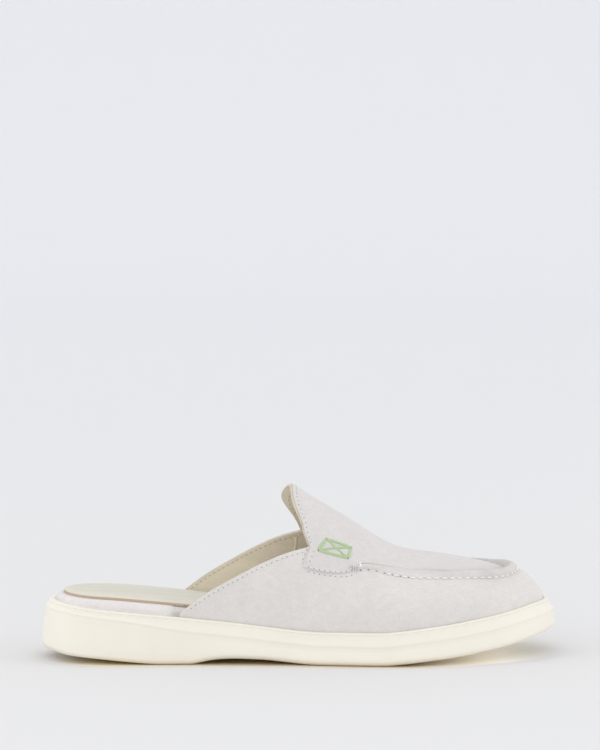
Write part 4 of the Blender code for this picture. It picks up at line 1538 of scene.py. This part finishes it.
def tube(name, points, normals, width, height, sides=10, steps=24, twist=0.0):
    """A thread along a line of points. Its ends close to a point."""
    run = run_lengths(points)
    at = (1 - np.cos(math.pi * np.linspace(0, 1, steps))) / 2 * run[-1]
    centre = read_line(at, run, points)
    tangent = unit(np.gradient(centre, axis=0))
    square = square_to(read_line(at, run, normals), tangent)
    aside = np.cross(square, tangent)
    near = np.clip(np.minimum(at, run[-1] - at) / (width * 0.6), 0, 1)
    full = np.sqrt(np.clip(1 - (1 - near) ** 2, 0, 1))
    angle = np.linspace(0, 2 * math.pi, sides + 1)[:, None]
    lobes = 1 + 0.10 * np.cos(3 * angle + twist * at / width)
    across = np.cos(angle) * lobes * width / 2 * full
    up = np.sin(angle) * lobes * height / 2 * full
    thread = joined(name, [laid_grid(centre + aside * across[..., None] + square * up[..., None])])
    with all_in_edit():
        bpy.ops.mesh.normals_make_consistent(inside=False)
    return thread


def tone_runs():
    """Rows of machine stitches on the suede: along the toplines, round the tabs and inside the
    tongue's rim."""
    lap = sizes().lap
    lines = []
    for name, rise in SIDES:
        lines.append(topline_run(name, rise, sizes().topline_inset, 0.0))
        lines += [tab_lower_run(name, 1.1 * MM, lap), tab_lower_run(name, -1.0 * MM, 0.0)]
        lines += [tab_back_run(name, rise, -0.8 * MM, 0.0), tab_back_run(name, rise, 2.6 * MM, lap)]
    lines.append(tongue_run(1.5 * MM, apron_face))
    return [spaced(points, normals, sizes().tone_pitch) for points, normals in lines]


def moved_on(run, share, pitch):
    """The same run, moved this share of the pitch along itself."""
    return Run(run.points + run.tangents * share * pitch, run.tangents, run.normals)


def stitched(name, hole_name, stitch, hole, runs, pitch, lift):
    """A row of stitches, with a needle hole between each two."""
    between_two = [moved_on(run, 0.5, pitch) for run in runs]
    return copied_along(name, stitch, runs, lift=lift), copied_along(hole_name, hole, between_two, lift=lift)


def make_tone_stitches():
    pitch = sizes().tone_pitch
    stitch = model_stitch(0.66 * pitch, sizes().tone_thread)
    hole = model_hole(0.56 * MM)
    return stitched("edge_stitches", "edge_holes", stitch, hole, tone_runs(), pitch, 0.02 * MM)


def make_lining_stitches():
    """The same rows as they show on the lining."""
    pitch = sizes().tone_pitch
    lines = [topline_run(side.name, side.rise, sizes().topline_inset, -WALL) for side in SIDES]
    lines.append(tongue_run(2.4 * MM, lining_stand))
    runs = [spaced(points, -normals, pitch) for points, normals in lines]
    stitch = model_stitch(0.7 * pitch, sizes().tone_thread)
    return copied_along("lining_stitches", stitch, runs, lift=0.03 * MM)


# Corners of the accent stitch on the outer tab, as shares along the shoe and degrees of climb, and
# the corners that its strokes join: four round the box, then two across it
ACCENT_CORNERS = ((0.544, 49.0), (0.592, 50.9), (0.585, 42.5), (0.528, 40.2))
ACCENT_STROKES = ((0, 1), (1, 2), (2, 3), (3, 0), (0, 2), (1, 3))


def make_accent_stitch():
    """A plain box stitch with a cross, in thick coloured thread, and the holes at its corners as dark beads of
    painted shade.
    """
    corners = [np.array([c, math.radians(d)]) for c, d in ACCENT_CORNERS]
    share = np.linspace(0.0, 1.0, 40)
    parts = []
    for k, (a, b) in enumerate(ACCENT_STROKES):
        along, climb = corners[a][:, None] + (corners[b] - corners[a])[:, None] * share
        width = sizes().accent_thread * (1.0 if k < 4 else 0.8)
        over = 0.1 * MM if k == 5 else 0.0
        stand = sizes().lap + width * 0.2 * np.sin(math.pi * share) ** 0.5 + over
        points, normals = line_on_face(reach_at(along), climb, stand)
        parts.append(tube("stroke", points, normals, width, width * 0.62, steps=30, twist=1.6))
    holes = []
    for c, d in corners:
        points, normals = line_on_face(np.array([reach_at(c)]), np.array([d]), sizes().lap + 0.35 * MM)
        holes.append(Run(points, np.array([[1.0, 0, 0]]) - normals * normals[:, :1], normals))
    stitch = joined("accent_stitch", parts, merge=None)
    return stitch, copied_along("accent_holes", model_hole(0.75 * MM), holes)


def make_bar_tacks():
    """Close rows of stitches that hold each tab's front corner, and the holes between them as dark dashes of painted
    shade.
    """
    runs, pitch = [], 1.25 * MM
    along = np.linspace(0.5880, 0.6035, 30)
    reach = reach_at(along)
    for side in SIDES:
        for row in range(4):
            over = (0.2 + 0.7 * row) * MM / metres_per_climb(reach, apron_climb(along))
            climb = apron_climb(0.5985) + over
            points, normals = line_on_face(turn_of(side.name, reach), climb, sizes().lap)
            runs.append(spaced(points, normals, pitch))
    stitch, hole = model_stitch(0.8 * pitch, 0.45 * MM), model_hole(0.30 * MM, longer=2.6)
    return stitched("bar_tacks", "tack_holes", stitch, hole, runs, pitch, 0.03 * MM)


def make_lining_seam():
    """The raised seam that joins the quarter's lining to the tongue's, inside each side."""
    parts = []
    for side in SIDES:
        guide = guides(np.array([float(reach_at(THROAT - 0.016))]), side.rise)
        climb = np.linspace(0.02, float(guide.level[0] * guide.shrink[0]) - 0.035, 60)
        along = THROAT - 0.014 - 0.010 * (1 - climb / climb[-1])
        points, normals = line_on_face(turn_of(side.name, reach_at(along)), climb, -WALL)
        parts.append(tube("seam", points, -normals, 1.5 * MM, 0.5 * MM, steps=40))
    return joined("lining_seams", parts, merge=None)


# Sizes and colours that a user would change


def length_choice(name, description, default, low, high):
    return FloatProperty(
        name=name, description=description, default=default, min=low, max=high, unit="LENGTH", precision=5
    )


def colour_choice(name, description, default):
    return FloatVectorProperty(
        name=name, description=description, default=default, size=4, min=0.0, max=1.0, subtype="COLOR"
    )


class LoaferSizes(bpy.types.PropertyGroup):
    """Sizes of the upper's leathers, seams and threads."""

    seam_width: length_choice("Seam width", "Width of the rolled seam round the apron", 0.0046, 0.002, 0.008)
    seam_height: length_choice("Seam height", "How far the rolled seam stands off the upper", 0.0025, 0.001, 0.004)
    lap: length_choice("Tab lap", "How far the apron's tabs stand off the quarters", 0.0010, 0.0006, 0.002)
    suede_thickness: length_choice("Suede thickness", "Thickness of the upper's suede", 0.00108, 0.0006, 0.0016)
    lining_thickness: length_choice("Lining thickness", "Thickness of the leather lining", 0.00100, 0.0005, 0.0015)
    seam_pitch: length_choice("Seam stitch pitch", "Distance between the seam's hand stitches", 0.0041, 0.002, 0.008)
    seam_thread: length_choice("Seam thread", "Thickness of the hand stitches' thread", 0.0009, 0.0004, 0.002)
    tone_pitch: length_choice("Edge stitch pitch", "Distance between the machine stitches", 0.0027, 0.0015, 0.005)
    tone_thread: length_choice("Edge thread", "Thickness of the machine stitches' thread", 0.0006, 0.0003, 0.001)
    topline_inset: length_choice("Topline inset", "How far below the topline they run", 0.0020, 0.001, 0.004)
    accent_thread: length_choice("Accent thread", "Thickness of the outer tab's green thread", 0.0014, 0.0006, 0.002)


class LoaferColours(bpy.types.PropertyGroup):
    """Colours of the shoe's materials."""

    suede: colour_choice("Vamp suede", "Pale grey suede of the vamp and the quarters", (0.724, 0.689, 0.664, 1))
    # The apron's suede is the vamp's suede, with the same nap, in a slightly darker tone
    apron_suede: colour_choice("Apron suede", "Suede of the apron, brushed the other way", (0.687, 0.655, 0.637, 1))
    band_suede: colour_choice("Band suede", "Suede band round the footbed", (0.765, 0.735, 0.715, 1))
    rubber: colour_choice("Rubber", "Cream foam rubber of the sole", (0.850, 0.808, 0.710, 1))
    insole: colour_choice("Insole", "Leather of the sock", (0.742, 0.707, 0.608, 1))
    insole_edge: colour_choice("Insole edge", "Raw edge of the sock", (0.52, 0.41, 0.31, 1))
    lining: colour_choice("Lining", "Leather inside the upper", (0.81, 0.727, 0.577, 1))
    seam_thread: colour_choice("Seam thread", "White thread of the hand stitches", (0.93, 0.91, 0.87, 1))
    tone_thread: colour_choice("Edge thread", "Thread in the suede's own tone", (0.76, 0.735, 0.715, 1))
    lining_thread: colour_choice("Lining thread", "Thread that shows on the lining", (0.58, 0.50, 0.38, 1))
    accent_thread: colour_choice("Accent thread", "Green thread on the outer tab", (0.46, 0.59, 0.335, 1))
    hole: colour_choice("Needle holes", "Shade inside the needle holes", (0.26, 0.24, 0.23, 1))
    accent_hole: colour_choice("Accent holes", "Shade where the green thread enters", (0.10, 0.13, 0.07, 1))


def sizes():
    return bpy.context.scene.loafer_sizes


# One operator for each piece


class LOAFER_OT_outsole(bpy.types.Operator):
    """Add the rubber sole with its rim, side groove, arch, tread bars and toe step"""

    bl_idname = "loafer.outsole"
    bl_label = "Outsole"

    def execute(self, context):
        finished(make_outsole(), material("cream_rubber"), replaces=["outsole"], smooth_angle=32)
        return {"FINISHED"}


class LOAFER_OT_midsole(bpy.types.Operator):
    """Add the footbed's platform, wrapped in suede"""

    bl_idname = "loafer.midsole"
    bl_label = "Midsole"

    def execute(self, context):
        finished(make_midsole(), material("suede_band"), replaces=["midsole"])
        return {"FINISHED"}


class LOAFER_OT_insole(bpy.types.Operator):
    """Add the padded leather sock with its raw edge"""

    bl_idname = "loafer.insole"
    bl_label = "Insole"

    def execute(self, context):
        insole = finished(make_insole(), material("insole_leather"), replaces=["insole"])
        insole.data.materials.append(material("insole_edge"))
        for face in insole.data.polygons:
            if abs(face.normal.z) < 0.35:
                face.material_index = 1
        return {"FINISHED"}


class LOAFER_OT_vamp(bpy.types.Operator):
    """Add the vamp and quarters of suede with the rolled seam's ridge"""

    bl_idname = "loafer.vamp"
    bl_label = "Vamp and quarters"

    def execute(self, context):
        finished(make_vamp(), material("suede_vamp"), replaces=["upper"])
        return {"FINISHED"}


class LOAFER_OT_apron(bpy.types.Operator):
    """Add the apron with its tongue and side tabs"""

    bl_idname = "loafer.apron"
    bl_label = "Apron, tongue and tabs"

    def execute(self, context):
        finished(make_apron(), material("suede_apron"), replaces=["upper"])
        return {"FINISHED"}


class LOAFER_OT_lining(bpy.types.Operator):
    """Add the leather lining with its seams and stitches"""

    bl_idname = "loafer.lining"
    bl_label = "Lining"

    def execute(self, context):
        finished(make_lining(), material("lining_leather"), replaces=["upper"])
        finished(make_lining_seam(), material("lining_leather"))
        finished(make_lining_stitches(), material("lining_thread"))
        return {"FINISHED"}


class LOAFER_OT_seam_stitches(bpy.types.Operator):
    """Add the white hand stitches along the rolled seam"""

    bl_idname = "loafer.seam_stitches"
    bl_label = "Seam stitches"

    def execute(self, context):
        stitches, holes = make_seam_stitches()
        finished(stitches, material("seam_thread"))
        finished(holes, material("needle_holes"))
        finished(make_roll_ends(), material("seam_thread"))
        return {"FINISHED"}


class LOAFER_OT_edge_stitches(bpy.types.Operator):
    """Add the machine stitches along the toplines, the tabs and the tongue, and the tabs' bar tacks"""

    bl_idname = "loafer.edge_stitches"
    bl_label = "Edge stitches"

    def execute(self, context):
        stitches, holes = make_tone_stitches()
        finished(stitches, material("tone_thread"))
        finished(holes, material("needle_holes"))
        tacks, tack_holes = make_bar_tacks()
        finished(tacks, material("tone_thread"))
        finished(tack_holes, material("needle_holes"))
        return {"FINISHED"}


class LOAFER_OT_accent_stitch(bpy.types.Operator):
    """Add the green box stitch on the outer tab"""

    bl_idname = "loafer.accent_stitch"
    bl_label = "Accent stitch"

    def execute(self, context):
        stitch, holes = make_accent_stitch()
        finished(stitch, material("accent_thread"))
        finished(holes, material("accent_holes"))
        return {"FINISHED"}


# Stage: a wide pale floor that sweeps up all round, a sheet of painted shadow under the sole, soft lamps and the
# camera

FLOOR_START = 0.4
FLOOR_RADIUS = 4.2
SWEEP_RADIUS = 0.9
FLAT_RADIUS = FLOOR_RADIUS - SWEEP_RADIUS
WALL_HEIGHT = 1.6
FLOOR_DROP = 0.1 * MM
PAPER_NEAR = ((0.755, 0.745, 0.740, 1), (0.765, 0.755, 0.750, 1))
PAPER_FAR = (0.862, 0.864, 0.884, 1)
# The sheet of painted shadow under the sole: its rings' insets from the sole's widest line in mm, the width of its
# soft border, and its painted warm shadow at the heel, the middle and the toe. Then the tint and strength of the
# painted glow under the toe
SHADOW_SHEET_INSETS = (-5.5, -4.0, -2.5, -1.0, 0.5, 2.5)
SHADOW_SHEET_EDGE = 6.5 * MM
PAINTED_SHADOW_HEEL = (0.86, 0.74, 0.50, 1)
PAINTED_SHADOW_MIDDLE = (0.62, 0.50, 0.31, 1)
PAINTED_SHADOW_TOE = (0.80, 0.77, 0.71, 1)
PAINTED_GLOW_TINT = (1.0, 0.95, 0.80, 1)
PAINTED_GLOW_STRENGTH = 0.29
Lamp = namedtuple("Lamp", "name place size power tint")
LAMPS = (
    Lamp("front", (-0.3, -2.3, 0.8), 1.8, 6.4, (1.0, 0.985, 0.97)),
    Lamp("left", (-1.9, -0.5, 0.5), 1.0, 6.2, (1.0, 0.99, 0.985)),
    Lamp("right", (1.9, -0.4, 0.5), 1.0, 6.9, (1.0, 0.99, 0.985)),
)
LAMP_TARGET = (0, 0, 0.03)
AIR_TINT = (0.97, 0.985, 1.0, 1)
CAMERA_TURN = math.radians(-3.7)
CAMERA_RISE = math.radians(9.0)
CAMERA_DISTANCE = 1.6
FRAME_HEIGHT = 750
PIXELS_PER_METRE = 1980.0
ORIGIN_BELOW_MIDDLE = 279.0


def paper_material():
    """Pale paper, with a painted warm shadow and a painted glow under the sole that stand in for the light that the
    cream rubber tints.
    """
    paper = Finish("studio_paper")
    place = paper.place()
    away = paper.node("VectorMath", "Value", {0: place}, operation="LENGTH")
    far = paper.maths("POWER", paper.ramp(away, 0.0, FLAT_RADIUS), 0.6)
    base = paper.mix(far, paper.mix(paper.noise(place, 0.5, 2), *PAPER_NEAR), PAPER_FAR)
    x = paper.node("SeparateXYZ", "X", {"Vector": place})
    # Painted warm shadow under the sole, from the heel's tint to the toe's, where the shadow sheet's under mark lies
    toe_end = paper.ramp(x, 0.05, 0.10)
    warm = paper.mix(paper.ramp(x, -0.05, -0.10), PAINTED_SHADOW_MIDDLE, PAINTED_SHADOW_HEEL)
    under = paper.mark("under")
    base = paper.mix(under, base, paper.mix(toe_end, warm, PAINTED_SHADOW_TOE))
    # A painted glow under the toe: emission in the floor's own material, where the painted shadow lies
    painted_glow = paper.maths("MULTIPLY", under, paper.maths("MULTIPLY", toe_end, PAINTED_GLOW_STRENGTH))
    shader = paper.tree.nodes["Principled BSDF"]
    paper.fill(shader, {"Emission Color": PAINTED_GLOW_TINT, "Emission Strength": painted_glow})
    return paper.shaded(base, 0.85, 0.1)


def make_painted_shadow_sheet():
    """A thin sheet on the floor under the sole, which carries the painted warm shadow of the light through and off
    the cream rubber."""
    flat = lambda x: 0 * x - FLOOR_DROP / 2
    rows = np.array([ring(EVEN_TURNS, inset * MM, flat) for inset in SHADOW_SHEET_INSETS])
    sheet = joined("floor_print", [laid_grid(rows), laid_grid(strips(rows[-1], 6))], RING_MERGE)
    places = places_of(sheet)
    # The under mark: how much painted shadow each point carries, soft at the sole's outline and fading out at the
    # heel's and the toe's ends
    faded = eased(places[:, 0], -0.131, -0.098) * (1 - eased(places[:, 0], 0.085, 0.130))
    write_mark(sheet, "under", eased(nearest(rows[0], places)[1], 0, SHADOW_SHEET_EDGE) * faded)
    return sheet


def make_floor():
    """A round floor whose border is extruded up in a sweep."""
    bare_scene()
    bpy.ops.mesh.primitive_circle_add(vertices=96, radius=FLOOR_START, fill_type="NGON", location=(0, 0, 0))
    bpy.ops.transform.translate(value=(0, 0, -FLOOR_DROP))
    bpy.ops.object.transform_apply(location=True, rotation=False, scale=False)
    floor = bpy.context.object
    floor.name = floor.data.name = "studio_floor"
    steps = [(radius, 0.0) for radius in (0.9, 1.8, FLAT_RADIUS)]
    for angle in np.radians(np.arange(10, 91, 10)):
        steps.append((FLAT_RADIUS + SWEEP_RADIUS * math.sin(angle), SWEEP_RADIUS * (1 - math.cos(angle))))
    steps.append((FLOOR_RADIUS, WALL_HEIGHT))
    radius, height = FLOOR_START, 0.0
    with all_in_edit():
        bpy.ops.mesh.select_mode(type="EDGE")
        bpy.ops.mesh.select_all(action="SELECT")
        for new_radius, new_height in steps:
            bpy.ops.mesh.extrude_edges_move(TRANSFORM_OT_translate={"value": (0, 0, new_height - height)})
            grow = new_radius / radius
            middle = (0, 0, new_height - FLOOR_DROP)
            bpy.ops.transform.resize(value=(grow, grow, 1), center_override=middle)
            radius, height = new_radius, new_height
        bpy.ops.mesh.select_all(action="SELECT")
        bpy.ops.mesh.normals_make_consistent(inside=True)
    bpy.ops.object.shade_smooth()
    return floor


def add_lamp(kind):
    bare_scene()
    bpy.ops.object.light_add(type="AREA", location=kind.place)
    lamp = bpy.context.object
    lamp.name = lamp.data.name = kind.name
    lamp.data.shape = "DISK"
    lamp.data.size = kind.size
    lamp.data.energy = kind.power
    lamp.data.color = kind.tint
    lamp.rotation_euler = (Vector(LAMP_TARGET) - Vector(kind.place)).to_track_quat("-Z", "Y").to_euler()


def add_camera():
    """The photograph's camera, turned up a little so that the shoe stands low in the frame."""
    turn, flat = CAMERA_TURN, math.cos(CAMERA_RISE)
    right = Vector((math.cos(turn), math.sin(turn), 0))
    to_shoe = Vector((-math.sin(turn) * flat, math.cos(turn) * flat, -math.sin(CAMERA_RISE)))
    focal = PIXELS_PER_METRE * CAMERA_DISTANCE
    lift = math.atan(ORIGIN_BELOW_MIDDLE / focal)
    focal *= math.cos(lift)
    up = right.cross(to_shoe)
    view = to_shoe * math.cos(lift) + up * math.sin(lift)
    up = right.cross(view)
    bare_scene()
    bpy.ops.object.camera_add(location=-to_shoe * CAMERA_DISTANCE)
    camera = bpy.context.object
    camera.name = camera.data.name = "photo_camera"
    axes = Matrix((right, up, -view)).transposed()
    camera.rotation_euler = axes.to_euler()
    camera.data.sensor_width = 36
    camera.data.sensor_fit = "AUTO"
    camera.data.lens = focal / FRAME_HEIGHT * camera.data.sensor_width
    camera.data.clip_start = 0.05
    camera.data.clip_end = 50
    bpy.context.scene.camera = camera


class LOAFER_OT_stage(bpy.types.Operator):
    """Add the pale floor with the painted shadow under the sole, the soft lamps and the camera"""

    bl_idname = "loafer.stage"
    bl_label = "Stage"

    def execute(self, context):
        paper = paper_material()
        for sheet in (make_floor(), make_painted_shadow_sheet()):
            sheet.data.materials.append(paper)
        world = bpy.data.worlds.new("studio_air")
        world.use_nodes = True
        background = world.node_tree.nodes["Background"]
        background.inputs["Color"].default_value = AIR_TINT
        background.inputs["Strength"].default_value = 1.0
        context.scene.world = world
        for lamp in LAMPS:
            add_lamp(lamp)
        add_camera()
        context.scene.view_settings.view_transform = "Standard"
        context.scene.view_settings.look = "None"
        return {"FINISHED"}


PIECES = (
    LOAFER_OT_outsole,
    LOAFER_OT_midsole,
    LOAFER_OT_insole,
    LOAFER_OT_vamp,
    LOAFER_OT_apron,
    LOAFER_OT_lining,
    LOAFER_OT_seam_stitches,
    LOAFER_OT_edge_stitches,
    LOAFER_OT_accent_stitch,
    LOAFER_OT_stage,
)


class LOAFER_PT_maker(bpy.types.Panel):
    """The shoe's sizes, colours and pieces"""

    bl_idname = "LOAFER_PT_maker"
    bl_label = "Loafer"
    bl_space_type = "VIEW_3D"
    bl_region_type = "UI"
    bl_category = "Loafer"

    def draw(self, context):
        for group in (context.scene.loafer_sizes, context.scene.loafer_colours):
            box = self.layout.box()
            for name in group.bl_rna.properties.keys():
                if name not in {"rna_type", "name"}:
                    box.prop(group, name)
        for piece in PIECES:
            self.layout.operator(piece.bl_idname)


CLASSES = (LoaferSizes, LoaferColours, *PIECES, LOAFER_PT_maker)


def register():
    for each in CLASSES:
        bpy.utils.register_class(each)
    bpy.types.Scene.loafer_sizes = PointerProperty(type=LoaferSizes)
    bpy.types.Scene.loafer_colours = PointerProperty(type=LoaferColours)


def unregister():
    del bpy.types.Scene.loafer_colours
    del bpy.types.Scene.loafer_sizes
    for each in reversed(CLASSES):
        bpy.utils.unregister_class(each)


def main():
    register()
    for piece in PIECES:
        group, name = piece.bl_idname.split(".")
        getattr(getattr(bpy.ops, group), name)()
    bpy.context.view_layer.update()


if __name__ == "__main__":
    main()
